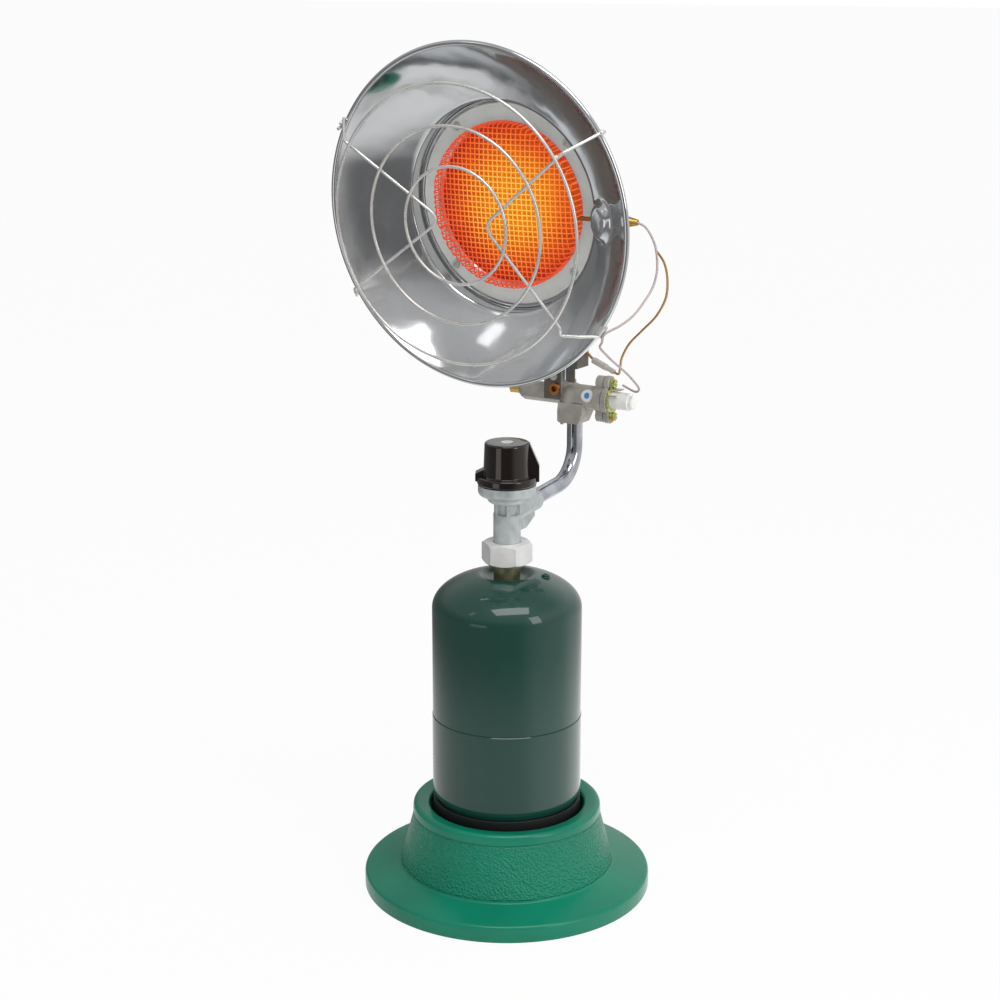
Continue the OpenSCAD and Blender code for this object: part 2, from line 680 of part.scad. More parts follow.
// ---------------------------------------------------------------- knob
module control_knob() color("#1b1817") {
    fin_t = 6.5;
    lug_w = 9;
    difference() {
        union() {
            rotate_extrude() polygon(concat(
                [[0, knob_z], [skirt_r - 0.6, knob_z], [skirt_r, knob_z + 0.6],
                 [skirt_r, skirt_top_z - 1]],
                arc(skirt_r - 1, skirt_top_z - 1, 1, 0, 90, 3),
                [[knob_foot_r + 0.6, skirt_top_z], [knob_foot_r, skirt_top_z + 0.6]],
                arc(knob_top_r - 1.4, knob_top_z - 1.4, 1.4, 0, 90, 4),
                [[0, knob_top_z]]));
            // pointer fin
            rotate([0, 0, fin_angle]) translate([0, fin_t / 2, 0]) rotate([90, 0, 0])
                linear_extrude(fin_t) polygon([
                    [knob_top_r - 3, knob_top_z - 0.3], [knob_top_r + 0.6, knob_top_z - 0.8],
                    [skirt_r + 1.4, knob_top_z - 15], [skirt_r + 1.4, knob_z + 1.6],
                    [knob_top_r - 3, knob_z + 1.6]]);
            // stop lug on the other side
            rotate([0, 0, fin_angle + 180]) translate([0, lug_w / 2, 0]) rotate([90, 0, 0])
                linear_extrude(lug_w) polygon([
                    [knob_top_r - 3, skirt_top_z + 4.6], [knob_foot_r, skirt_top_z + 4.4],
                    [skirt_r + 1, skirt_top_z + 1.8], [skirt_r + 1, skirt_top_z - 3.4],
                    [knob_top_r - 3, skirt_top_z - 3.4]]);
        }
        translate([0, 0, knob_z - 1]) cylinder(r = bonnet_r + 0.7, h = knob_roof_z - knob_z + 1);
        translate([0, 0, knob_z]) cylinder(r = spindle_r, h = knob_top_z - 3 - knob_z);
        translate([0, 0, knob_top_z - cap_t]) cylinder(r = cap_r, h = 5);
    }
}

module knob_cap() color("white") translate([0, 0, knob_top_z - cap_t]) cylinder(r = cap_r, h = cap_t);

// ---------------------------------------------------------------- arm
module tube_section(r, wall) difference() {
    circle(r = r);
    circle(r = r - wall);
}

module arm_tube() color("#d5d7da") {
    translate([0, 0, arm_root_z]) rotate([arm_slope, 0, 0]) {
        translate([0, arm_in, 0]) rotate([-90, 0, 0])
            linear_extrude(arm_straight - arm_in) tube_section(tube_r, tube_wall);
        translate([0, arm_straight, arm_bend_r]) rotate([0, 90, 0])
            rotate_extrude(angle = arm_turn) translate([arm_bend_r, 0]) tube_section(tube_r, tube_wall);
    }
    // the upright run is a shade thicker, so that it laps over the end of the bend
    translate([0, arm_reach, arm_corner_z + arm_tangent - 0.05])
        linear_extrude(valve_z - arm_socket - arm_corner_z - arm_tangent + 0.05)
            tube_section(upright_r, tube_wall + 2 * upright_step);
}

// ---------------------------------------------------------------- valve
// Outline with two ears, extruded along the valve's axis
module eared_plate(t, disc_r, ear) along_x() linear_extrude(t) {
    circle(r = disc_r);
    for (s = [-1, 1]) translate([s * cover_screw_pitch / 2, 0]) circle(r = ear);
    square([cover_screw_pitch, 2 * ear - 1], center = true);
}

module cover_screw_holes(start) for (s = [-1, 1])
    translate([start, 0, s * cover_screw_pitch / 2]) along_x() cylinder(r = cover_screw_r, h = 30);

module valve_body() color("#8f8c86") on_valve_axis() difference() {
    union() {
        along_x() rotate([0, 0, 45]) rotate_extrude() polygon(concat(
            [[0, -barrel_r - 2.4]],
            arc(0, -1.4, barrel_r + 1, -80, 0, 6),
            [[barrel_r, 2.6], [barrel_r, flange_x + 1], [0, flange_x + 1]]));
        // six-sided side arm with a chamfered end
        translate([-side_arm_l, 0, 0]) along_x() {
            translate([0, 0, 2.6]) cylinder(d = side_arm_af / cos(30), h = side_arm_l - 4, $fn = 6);
            cylinder(r1 = side_arm_af / 2 - 1.8, r2 = side_arm_af / 2 - 0.1, h = 2.7);
        }
        translate([flange_x, 0, 0]) eared_plate(flange_t, flange_disc_r, ear_r);
        // boss of the outlet pipe
        translate([-outlet_offset, 0, 0]) cylinder(r = outlet_boss_r, h = outlet_boss_h);
        // pad of the bracket, and the nipple's boss
        translate([pad_x, pad_y, pad_foot_z]) cube([pad_w, 7, pad_top_z - pad_foot_z]);
        // clamp block around the arm tube
        rotate([90, 0, 0]) linear_extrude(2 * clamp_half_y, center = true) polygon([
            [-8.6, -4], [-9.2, clamp_top], [-9.2, clamp_bottom + 1.2], [-8.2, clamp_bottom],
            [6.6, clamp_bottom], [10, clamp_top - 1], [10, -4]]);
    }
    // socket of the arm tube, gas way and chamber
    translate([0, 0, clamp_bottom - 1]) cylinder(r = upright_r, h = -clamp_bottom - arm_socket + 1);
    translate([0, 0, -arm_socket - 1]) cylinder(r = 2.4, h = arm_socket);
    translate([bore_x0, 0, 0]) along_x() cylinder(r = bore_r, h = 40);
    translate([counterbore_x, 0, 0]) along_x() cylinder(r = shoulder_r, h = 20);
    translate([-outlet_offset, 0, 3]) cylinder(r = 2.4, h = outlet_boss_h);
    translate([-outlet_offset, 0, outlet_seat_z]) cylinder(r = outlet_r, h = pad_top_z);
    // end bore for the plug, nipple bore, screw holes
    translate([-side_arm_l - 1, 0, 0]) along_x() cylinder(r = 1.9, h = 12);
    translate([nipple_x, pad_y + pad_screw_in, nipple_z]) towards_front()
        cylinder(r = nipple_shank, h = 10);
    translate([bracket_screw_x, pad_y + pad_screw_in, bracket_screw_z]) towards_front()
        cylinder(r = bracket_screw_r, h = 10);
    translate([clamp_screw_x, clamp_screw_y, clamp_bottom - 1]) cylinder(r = clamp_screw_r, h = 13);
    cover_screw_holes(flange_x + screw_end);
}

module valve_gasket() color("#30302e") on_valve_axis() translate([cover_x, 0, 0]) difference() {
    eared_plate(gasket_t, flange_disc_r - 0.4, ear_r - 0.4);
    along_x() translate([0, 0, -1]) cylinder(r = shoulder_r, h = gasket_t + 2);
    cover_screw_holes(-1);
}

module valve_cover() color("#85827b") on_valve_axis() translate([cover_x + gasket_t, 0, 0]) difference() {
    eared_plate(cover_t - gasket_t, flange_disc_r + 0.6, ear_r + 0.4);
    along_x() translate([0, 0, -1]) cylinder(r = shoulder_r, h = cover_t + 2);
    cover_screw_holes(-1);
}

module terminal_plate() color("#a9b06a") on_valve_axis() translate([zinc_x, 0, 0]) difference() {
    eared_plate(zinc_t, flange_disc_r - 0.2, ear_r - 0.8);
    along_x() translate([0, 0, -1]) cylinder(r = button_r + 0.25, h = zinc_t + 2);
    cover_screw_holes(-1);
}

module cover_screws() color("#b9ae62") on_valve_axis() for (s = [-1, 1])
    translate([flange_x + screw_end, 0, s * cover_screw_pitch / 2]) along_x() {
        shank = zinc_x + zinc_t - flange_x - screw_end;
        cylinder(r = cover_screw_r, h = shank);
        difference() {
            translate([0, 0, shank]) cylinder(r = 2.8, h = 1.8);
            translate([-0.4, -3, shank + 1]) cube([0.8, 6, 2]);
        }
    }

module lead_terminals() color("#6f6d62") on_valve_axis() translate([zinc_x + zinc_t, 0, 0]) {
    translate([0, -2.4, 7.2]) cube([7.2, 4.8, 0.8]);
    translate([0, -7.4, 3.6]) cube([6.4, 2, 0.8]);
}

module safety_button() color("#f2f3f1") on_valve_axis() translate([button_x0, 0, 0]) along_x() {
    l = button_tip_x - button_x0;
    difference() {
        union() {
            cylinder(r = button_lip_r, h = button_lip_t);
            cylinder(r = button_r, h = l - button_tip_l);
            translate([0, 0, l - button_tip_l - 1]) cylinder(r = button_r - 0.9, h = button_tip_l + 0.4);
            translate([0, 0, l - 0.7]) cylinder(r1 = button_r - 0.9, r2 = button_r - 1.5, h = 0.7);
        }
        translate([0, 0, -1]) cylinder(r = button_r - button_wall, h = l - 3);
    }
}

module button_spring() color("#b8bcc0") on_valve_axis() translate([counterbore_x, 0, 0]) along_x()
    spring(3.3, 0.4, button_tip_x - 4 - counterbore_x, 7);

module valve_plunger() color("#c9b679") on_valve_axis() {
    translate([0.6, 0, 0]) along_x() cylinder(r = disc_r, h = 2.4);
    translate([-1, 0, 0]) along_x() cylinder(r = plunger_r, h = button_tip_x - 3);
}

module valve_seat() color("#c9a24a") on_valve_axis()
    translate([seat_x, 0, 0]) along_x() ring(bore_r, plunger_r + 0.9, seat_t);

module magnet_unit() color("#7a4a2c") on_valve_axis()
    translate([magnet_x, 0, 0]) along_x() ring(bore_r, plunger_r + 0.3, magnet_l);

module end_plug() color("#c98b3c") on_valve_axis() {
    translate([-side_arm_l - plug_l, 0, 0]) along_x() rotate([0, 0, 30])
        cylinder(r = 3.3, h = plug_l, $fn = 6);
    translate([-side_arm_l - 0.5, 0, 0]) along_x() cylinder(r = 1.9, h = 8);
}

module test_nipple() color("#c98b45") on_valve_axis() translate([nipple_x, pad_y, nipple_z]) towards_front()
    difference() {
        union() {
            translate([0, 0, -pad_screw_in]) cylinder(r = nipple_shank, h = pad_screw_in + bracket_t + 1);
            translate([0, 0, bracket_t]) cylinder(r = nipple_r, h = 2.6);
        }
        translate([0, 0, -2]) cylinder(r = 1.9, h = 10);
    }

module clamp_screw() color("#b7b2a2") on_valve_axis()
    translate([clamp_screw_x, clamp_screw_y, clamp_bottom - 1.6]) cylinder(r = clamp_screw_r, h = 11);

// A plain round dot stuck on the barrel
module inspection_dot() color("white") on_valve_axis() intersection() {
    translate([dot_x - 5, 0, 0]) along_x() ring(barrel_r + 0.15, barrel_r, 9.6);
    translate([dot_x, 0, 0]) rotate([-dot_turn, 0, 0]) towards_front() cylinder(r = dot_r, h = 20);
}

// ---------------------------------------------------------------- outlet
module outlet_pipe() color("#d5d7da") on_valve_axis() translate([-outlet_offset, 0, outlet_seat_z])
    ring(outlet_r, outlet_r - tube_wall, pivot_rise - outlet_seat_z - 6);

module gas_orifice() color("#c9a24a") translate([head_x, arm_reach, pivot_z]) {
    difference() {
        union() {
            translate([0, 0, -10]) cylinder(r = outlet_r - tube_wall, h = 5);
            translate([0, 0, -6]) cylinder(r = 5.2, h = 3.4, $fn = 6);
            translate([0, 0, -2.7]) cylinder(r1 = 3.4, r2 = 2, h = 2.2);
        }
        translate([0, 0, -11]) cylinder(r = 1.4, h = 9);
        translate([0, 0, -5]) cylinder(r = 0.5, h = 6);
    }
}

// ---------------------------------------------------------------- bracket
// Ears round the tilt axis, at a half width, bent back from the front plate
module bracket_ear(x, t, front, h) translate([x, 0, 0]) along_x() linear_extrude(t) {
    circle(r = ear_round);
    translate([0, front]) square([h, ear_round - front]);
}

module support_bracket() color("#3b3a38") translate([head_x, arm_reach, pivot_z]) difference() {
    front = pad_y - bracket_t;
    half = ear_half + bracket_t;
    union() {
        // wide plate below the tilt axis, a leg screwed to the valve, a leg that stands on it
        translate([-half, front, -14]) cube([2 * half, bracket_t, 13]);
        translate([-half, front, pad_foot_z - pivot_rise]) cube([12.2, bracket_t, pivot_rise - 4]);
        translate([5.5, front, outlet_boss_h + 0.3 - pivot_rise]) cube([5.1, bracket_t, 12]);
        // the right ear runs on upwards and carries the switch
        translate([ear_half, -switch_size[1] / 2, 0]) cube([bracket_t, switch_size[1], switch_lift + switch_size[2]]);
        for (x = [-half, ear_half]) bracket_ear(x, bracket_t, front, 14);
        for (x = [-half, ear_half]) translate([x, front, -14]) cube([bracket_t, bracket_t - pad_y, 13]);
    }
    for (s = [-1, 1]) translate([s * ear_half - 5, 0, 0]) along_x() cylinder(r = pivot_r, h = 10);
    translate([nipple_x - head_x, 0, nipple_z - pivot_rise]) towards_front() cylinder(r = nipple_shank, h = 20);
    translate([bracket_screw_x - head_x, 0, bracket_screw_z - pivot_rise]) towards_front()
        cylinder(r = bracket_screw_r, h = 20);
}

module bracket_screw() color("#9a968c") on_valve_axis()
    translate([bracket_screw_x, pad_y, bracket_screw_z]) towards_front() {
        translate([0, 0, -pad_screw_in]) cylinder(r = bracket_screw_r, h = pad_screw_in + bracket_t);
        difference() {
            translate([0, 0, bracket_t]) cylinder(r = screw_head_r, h = 1.6);
            translate([-3, -0.35, bracket_t + 0.9]) cube([6, 0.7, 2]);
        }
    }

module tilt_pivots() color("#a9a79f") translate([head_x, arm_reach, pivot_z]) for (s = [0, 1])
    rotate([0, 0, 180 * s]) {
        translate([ear_half - bracket_t - yoke_gap - 2.4, 0, 0]) along_x() cylinder(r = pivot_r, h = 7);
        translate([ear_half + bracket_t, 0, 0]) along_x() cylinder(r = 4, h = 2);
        translate([ear_half - bracket_t - yoke_gap - 2.6, 0, 0]) along_x() rotate([0, 0, 30])
            cylinder(r = 3.6, h = 2.4, $fn = 6);
    }

// z of the children runs along the connector, from its outer end to the tail
module on_connector() {
    d = connector_start - connector_end;
    translate(connector_end) rotate([0, acos(d[2] / norm(d)), atan2(d[1], d[0])]) children();
}

module tip_over_switch() color("#26262a") translate(switch_at) cube(switch_size);

module switch_tail() color("#b5713f") wire(smooth(tail_points, 5), tail_r);

// ---------------------------------------------------------------- head
module head_yoke() color("#4a4946") in_head() difference() {
    union() {
        for (s = [-1, 1]) translate([s > 0 ? ear_half - yoke_gap - bracket_t : -ear_half + yoke_gap, 0, 0]) {
            along_x() cylinder(r = ear_round, h = bracket_t);
            translate([0, -ear_round, 0]) cube([bracket_t, 2 * ear_round, mixer_foot + bracket_t]);
        }
        translate([-ear_half + yoke_gap, -mixer_r - 1.5, mixer_foot])
            cube([2 * (ear_half - yoke_gap), 2 * mixer_r + 3, bracket_t]);
        translate([0, 0, mixer_foot]) cylinder(r = mixer_r + 1.2, h = 9);
    }
    translate([0, 0, mixer_foot - 1]) cylinder(r = mixer_r, h = 20);
    translate([-30, 0, 0]) along_x() cylinder(r = pivot_r + 0.05, h = 60);
}

module mixing_tube() color("#a7a39b") in_head() {
    translate([0, 0, mixer_foot]) linear_extrude(head_rise - elbow_r - mixer_foot)
        tube_section(mixer_r, mixer_wall);
    translate([0, -elbow_r, head_rise - elbow_r]) rotate([90, 0, 90])
        rotate_extrude(angle = 90) translate([elbow_r, 0]) tube_section(mixer_r, mixer_wall);
    translate([0, -elbow_r, head_rise]) towards_front()
        linear_extrude(head_reach + pan_back_w - elbow_r + 2) tube_section(mixer_r, mixer_wall);
}

module screw_holes_in_head() at_angles(burner_screw_r, burner_screw_angles)
    translate([0, 0, pan_back_w]) cylinder(r = burner_screw_shank, h = -pan_back_w);

module burner_pan() color("#8c8a86") on_dish() difference() {
    rotate_extrude() polygon(concat(
        [[mixer_r, pan_back_w], [mixer_r, pan_back_w - 5], [mixer_r + 1.2, pan_back_w - 5],
         [mixer_r + 1.2, pan_back_w - 1]],
        arc(pan_r - 9, pan_back_w + 8, 9, -90, 0, 6),
        [[pan_r, pan_front_w - pan_flange_t], [throat_r - 1, pan_front_w - pan_flange_t],
         [throat_r - 1, pan_front_w], [pan_r - 1, pan_front_w]],
        arc(pan_r - 9, pan_back_w + 8, 8, 0, -90, 6)));
    screw_holes_in_head();
}

module emitter_plate() color("#ff6a1a") on_dish() difference() {
    rotate_extrude() polygon([
        [0, pan_front_w + emitter_rise + 2], [20, pan_front_w + emitter_rise + 1.6],
        [emitter_r - 3, pan_front_w + emitter_rise], [emitter_r, pan_front_w + emitter_rise - 2],
        [emitter_r, pan_front_w + plate_t], [throat_r - 1, pan_front_w + plate_t],
        [throat_r - 1, pan_front_w], [emitter_r - plate_t, pan_front_w],
        [emitter_r - plate_t, pan_front_w + emitter_rise - 2.2],
        [emitter_r - 3.2, pan_front_w + emitter_rise - plate_t],
        [20, pan_front_w + emitter_rise + 1.6 - plate_t], [0, pan_front_w + emitter_rise + 2 - plate_t]]);
    screw_holes_in_head();
}

module burner_mesh() color("#e8401c") on_dish() {
    top_w = seat_w + mesh_wall_h;
    crown_r = (pow(mesh_r - mesh_corner, 2) + pow(mesh_crown_h, 2)) / (2 * mesh_crown_h);
    crown_a = asin((mesh_r - mesh_corner) / crown_r);
    crown_c = top_w + mesh_crown_h - crown_r;
    rotate_extrude() polygon(concat(
        [[mesh_r - mesh_t, seat_w], [mesh_r, seat_w]],
        arc(mesh_r - mesh_corner, top_w - mesh_corner + 0.4, mesh_corner, 0, 70, 4),
        arc(0, crown_c, crown_r, 90 - crown_a, 90, 6),
        arc(0, crown_c, crown_r - mesh_t, 90, 90 - crown_a, 6),
        arc(mesh_r - mesh_corner, top_w - mesh_corner + 0.4, mesh_corner - mesh_t, 70, 0, 4)));
}

module trim_ring() color("#d9dcd8") on_dish() difference() {
    union() {
        translate([0, 0, seat_w]) ring(trim_r - trim_roll_r, mesh_r + 0.1, trim_t);
        translate([0, 0, seat_w + trim_roll_r]) rotate_extrude()
            translate([trim_r - trim_roll_r, 0]) circle(r = trim_roll_r);
    }
    screw_holes_in_head();
}

module burner_screws() color("#8d8578") on_dish()
    at_angles(burner_screw_r, burner_screw_angles) {
        translate([0, 0, pan_front_w - pan_flange_t - 3]) cylinder(r = burner_screw_shank, h = 6);
        difference() {
            translate([0, 0, seat_w + trim_t]) cylinder(r1 = burner_screw_head, r2 = 2.3, h = 1.6);
            translate([-4, -0.4, seat_w + trim_t + 0.9]) cube([8, 0.8, 2]);
        }
    }

// Points of the bowl's curve from the neck to the rim, moved back by t
function bowl_curve(t) =
    let (a = [throat_r, throat_w], b = [rim_r - 1.5 * roll_r, -0.2], d = b - a,
         side = [d[1], -d[0]] / norm(d), n = 10)
    [for (i = [0:n]) let (s = i / n) a + d * s + side * (4 * bowl_bulge * s * (1 - s) + t)];

module reflector_dish() color("#c9ccd0") on_dish() difference() {
    union() {
        rotate_extrude() polygon(concat(
            [[flange_in_r, seat_w], [throat_r, seat_w]],
            [for (p = bowl_curve(0)) p],
            [for (i = [10:-1:1]) bowl_curve(dish_t)[i]],
            [[throat_r + dish_t, throat_w - 0.4], [throat_r + dish_t, seat_w - dish_t],
             [flange_in_r, seat_w - dish_t]]));
        rotate_extrude() translate([rim_r - roll_r, 0]) circle(r = roll_r);
    }
    screw_holes_in_head();
    // hole of the thermocouple through the neck
    translate([throat_r - 5, -tc_drop, -tc_depth]) along_x() cylinder(r = tc_fit_r, h = 24);
}

// ---------------------------------------------------------------- guard
module guard_rings() color("#c7c9cb") on_dish()
    for (g = [[guard_outer_r, 0], [guard_mid_r, 1], [guard_inner_r, 2]])
        translate([0, 0, guard_stand - guard_dip * g[1] / 2]) rotate_extrude()
            translate([g[0], 0]) circle(r = wire_r, $fn = 24);

// Height of the cross wires, just behind the rings
function cross_w(r) =
    guard_stand - 2 * wire_r - wire_gap - guard_dip * (guard_outer_r - r) / (guard_outer_r - guard_inner_r);

function cross_point(p) = [p[0], p[1], cross_w(norm(p))];

// Points of one leg from the vertex to its hook behind the rolled rim
function leg(vertex, angle) =
    let (out = [cos(angle), sin(angle)],
         clear = wire_r + 0.3,
         knee = (guard_outer_r + 5) * out,
         outside = rim_r + clear)
    [cross_point(vertex), cross_point(knee),
     [outside * out[0], outside * out[1], 0.5],
     [(outside - 0.6) * out[0], (outside - 0.6) * out[1], -roll_r - clear],
     [(rim_r - 4.2) * out[0], (rim_r - 4.2) * out[1], -roll_r - clear - 2.2]];

function reverse(p) = [for (i = [len(p) - 1:-1:0]) p[i]];

function cross_path(vertex, angles) =
    let (a = reverse(leg(vertex, angles[0])), b = leg(vertex, angles[1]))
    concat(
        [a[0]], corner(a[0], a[1], a[2], 1, 3), corner(a[1], a[2], a[3], 1, 3),
        corner(a[2], a[3], a[4], 3, 4), corner(a[3], a[4], b[1], vertex_cut, 8),
        corner(b[0], b[1], b[2], 3, 4), corner(b[1], b[2], b[3], 1, 3),
        corner(b[2], b[3], b[4], 1, 3), [b[4]]);

module guard_cross_wires() color("#c7c9cb") on_dish() {
    wire(cross_path(left_vertex, left_angles), wire_r);
    wire(cross_path(right_vertex, right_angles), wire_r);
}

// ---------------------------------------------------------------- thermocouple
module thermocouple() color("#b87333") on_thermocouple() {
    translate([tc_tip_r, 0, 0]) along_x() cylinder(r = 1.4, h = throat_r + 6 - tc_tip_r);
    translate([tc_tip_r, 0, 0]) sphere(r = 1.4, $fn = 24);
}

module thermocouple_fitting() color("#c6a04a") on_thermocouple() difference() {
    union() {
        translate([throat_r - 2, 0, 0]) along_x() cylinder(r = tc_fit_r, h = 14);
        translate([throat_r + 12 - eps, 0, 0]) along_x() rotate([0, 0, 30]) cylinder(r = 5, h = 7, $fn = 6);
        translate([throat_r + 19 - 2 * eps, 0, 0]) along_x()
            cylinder(r1 = 4, r2 = 1.8, h = tc_end_r - throat_r - 19);
    }
    along_x() cylinder(r = 1.4, h = throat_r + 6);
}

// A clip around the outer half of the rolled rim, which the lead lies against
module lead_clip() color("#2b2b2b") on_dish() rotate([0, 0, clip_angle])
    rotate_extrude(angle = clip_span) translate([rim_r - roll_r, 0]) difference() {
        circle(r = roll_r + clip_t);
        circle(r = roll_r);
        translate([-0.6 - 2 * roll_r - clip_t, -4]) square([2 * roll_r + clip_t, 8]);
    }

module thermocouple_lead() color("#b9b3ad")
    wire(smooth(lead_points, 4), lead_r);

module switch_lead() color("#b9805a") wire(smooth(switch_points, 5), lead_r);

module lead_connector() color("#d8d2cc") {
    l = norm(connector_start - connector_end);
    on_connector() {
        cylinder(r = connector_r - 0.5, h = l * 0.4);
        translate([0, 0, l * 0.35]) cylinder(r = connector_r, h = l * 0.65);
    }
}

base_stand();
cylinder_lower_shell();
cylinder_upper_shell();
cylinder_foot_ring();
cylinder_valve();
cylinder_valve_pin();
relief_valve();
inlet_seal();
hex_nut();
regulator_body();
regulator_diaphragm();
regulator_bonnet();
regulator_spring();
knob_spindle();
control_knob();
knob_cap();
arm_tube();
valve_body();
valve_gasket();
valve_cover();
terminal_plate();
cover_screws();
lead_terminals();
safety_button();
button_spring();
valve_plunger();
valve_seat();
magnet_unit();
end_plug();
test_nipple();
clamp_screw();
inspection_dot();
outlet_pipe();
gas_orifice();
support_bracket();
bracket_screw();
tilt_pivots();
tip_over_switch();
switch_tail();
head_yoke();
mixing_tube();
burner_pan();
emitter_plate();
burner_mesh();
trim_ring();
burner_screws();
reflector_dish();
guard_rings();
guard_cross_wires();
thermocouple();
thermocouple_fitting();
lead_clip();
thermocouple_lead();
switch_lead();
lead_connector();
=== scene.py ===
# %% [markdown]
# # A portable propane heater
# The part comes in as a fixed frame of exact solids: every node is already at its real size and place.
# This script gives each of them its finish, replaces the ones whose looks need finer modelling, and sets up
# the camera and the lamps to photograph the result. It reads from top to bottom: each cell uses only what
# stands above it.

# %% Load the frame
import json
import math

import bmesh
import bpy
from mathutils import Matrix, Vector


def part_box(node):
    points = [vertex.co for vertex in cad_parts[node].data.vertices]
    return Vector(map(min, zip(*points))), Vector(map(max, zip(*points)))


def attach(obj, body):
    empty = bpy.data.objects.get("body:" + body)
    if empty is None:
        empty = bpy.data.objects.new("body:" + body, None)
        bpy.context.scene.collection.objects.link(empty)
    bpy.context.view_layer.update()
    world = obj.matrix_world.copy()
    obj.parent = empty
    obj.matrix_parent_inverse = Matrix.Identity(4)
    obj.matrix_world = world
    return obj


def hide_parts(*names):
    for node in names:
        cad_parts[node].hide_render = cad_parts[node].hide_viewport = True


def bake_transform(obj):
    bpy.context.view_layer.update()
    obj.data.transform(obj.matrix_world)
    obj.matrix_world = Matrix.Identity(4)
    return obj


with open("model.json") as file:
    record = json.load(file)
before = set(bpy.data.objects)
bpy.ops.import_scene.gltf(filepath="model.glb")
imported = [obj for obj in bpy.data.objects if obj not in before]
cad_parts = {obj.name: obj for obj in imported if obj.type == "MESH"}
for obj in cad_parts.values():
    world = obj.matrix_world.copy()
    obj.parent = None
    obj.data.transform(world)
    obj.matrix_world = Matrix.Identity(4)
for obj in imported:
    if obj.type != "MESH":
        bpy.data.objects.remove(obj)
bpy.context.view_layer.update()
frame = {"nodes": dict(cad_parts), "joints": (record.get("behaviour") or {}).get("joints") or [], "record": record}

MM = 0.001
nodes = frame["nodes"]
body_of = {node: body for body, names in frame["record"]["behaviour"]["bodies"].items() for node in names}

# %% [markdown]
# ## Camera
# The photograph was taken from 32 degrees to the right of the dish's front, a little above it, with a
# long lens. The camera sees 28 degrees, which is a 72 mm lens on a 36 mm sensor. The place was found by
# fitting the ellipses of the stand, the cylinder and the dish.

# %% Camera
CAMERA_TURN = 32
CAMERA_DOWN = 14.9
camera_data = bpy.data.cameras.new("camera")
camera_data.sensor_width = 36
camera_data.lens = 72
camera = bpy.data.objects.new("camera", camera_data)
camera.location = (0.6558, -1.0581, 0.5959)
camera.rotation_euler = (math.radians(90 - CAMERA_DOWN), 0, math.radians(CAMERA_TURN))
bpy.context.scene.collection.objects.link(camera)
bpy.context.scene.camera = camera
bpy.context.scene.view_settings.view_transform = "Standard"
print("camera is", round((camera.location - Vector((0, 0, 0.28))).length, 2), "m from the heater's middle")

# %% [markdown]
# ## Colours and node trees
# Colours are written as sRGB hex values, the way a picker shows them. Shaders count in linear light, so
# one function converts them. One other function adds a node with its settings and its links: a link is
# either a socket, or a whole node, which then gives its first output.

# %% Colours and nodes


def linear(hex_code):
    """An sRGB hex value as linear RGBA."""
    shares = [int(hex_code[i:i + 2], 16) / 255 for i in (1, 3, 5)]
    return tuple(c / 12.92 if c <= 0.04045 else ((c + 0.055) / 1.055) ** 2.4 for c in shares) + (1,)


def add(tree, kind, values=(), links=(), **settings):
    """Adds a node, sets its settings and the values of its sockets, and links its inputs."""
    made = tree.nodes.new(kind)
    for name, value in settings.items():
        setattr(made, name, value)
    for name, value in dict(values).items():
        made.inputs[name].default_value = value
    for name, source in dict(links).items():
        tree.links.new(source.outputs[0] if isinstance(source, bpy.types.Node) else source, made.inputs[name])
    return made


WHITE = linear("#ffffff")
print("mid grey in linear light:", round(linear("#808080")[0], 3))

# %% [markdown]
# ## Values for patterns
# A texture's scale is the number of features in a metre, so it comes from the size of one feature in
# millimetres. A noise stays near its middle, from about 0.3 to 0.7, so that range is what gets mapped onto
# a roughness or a colour. These functions only work out values. The nodes are added where they are used.

# %% Values for patterns


def per(size_mm):
    """Scale of a texture whose features are about size_mm across."""
    return 1 / (size_mm * MM)


def across(low, high, start=0.3, end=0.7):
    """Values of a Map Range node that takes start and end to low and high."""
    return {"From Min": start, "From Max": end, "To Min": low, "To Max": high}


def tones(first, second):
    """Values of a Mix node between two hex colours, by the numbers of its colour sockets."""
    return {6: linear(first), 7: linear(second)}


def new_material(name, colour, roughness, metallic=0.0, **sockets):
    """A material with its shader's own sockets set. Returns its tree, its shader and Object coordinates."""
    made = bpy.data.materials.new(name)
    made.use_nodes = True
    tree = made.node_tree
    shader = tree.nodes["Principled BSDF"]
    shader.inputs["Base Color"].default_value = linear(colour)
    shader.inputs["Roughness"].default_value = roughness
    shader.inputs["Metallic"].default_value = metallic
    for socket, value in sockets.items():
        shader.inputs[socket.replace("_", " ")].default_value = value
    return tree, shader, add(tree, "ShaderNodeTexCoord").outputs["Object"]


print("a 2 mm grain has a scale of", per(2))

# %% [markdown]
# ## Floor
# The photograph is a cut-out on white. A large pale floor and a white world give that background, and the
# floor keeps a soft shadow.

# %% Floor
FLOOR_HALF = 30
floor_shape = bmesh.new()
bmesh.ops.create_grid(floor_shape, x_segments=1, y_segments=1, size=FLOOR_HALF)
floor_mesh = bpy.data.meshes.new("floor")
floor_shape.to_mesh(floor_mesh)
floor = bpy.data.objects.new("floor", floor_mesh)
bpy.context.scene.collection.objects.link(floor)
print("floor is", 2 * FLOOR_HALF, "m wide")

# %% [markdown]
# ## What the mirrors see
# The dish is a mirror, so most of its look is the room round it. A photographer's studio is dark behind
# the camera, with pale panels at the sides, a pale wall at the back and a ceiling. Each is a soft lobe
# round one direction: the share of the lobe comes from the angle between that direction and the ray.

# %% Studio light
CAMERA_SIDE = math.radians(CAMERA_TURN - 90)


def level(turn):
    """A level direction, turned from the camera's side by an angle in radians."""
    return (math.cos(CAMERA_SIDE + turn), math.sin(CAMERA_SIDE + turn), 0.0)


NEAR_ROOM = 0.15
TOWARDS_RIGHT = level(1.25)
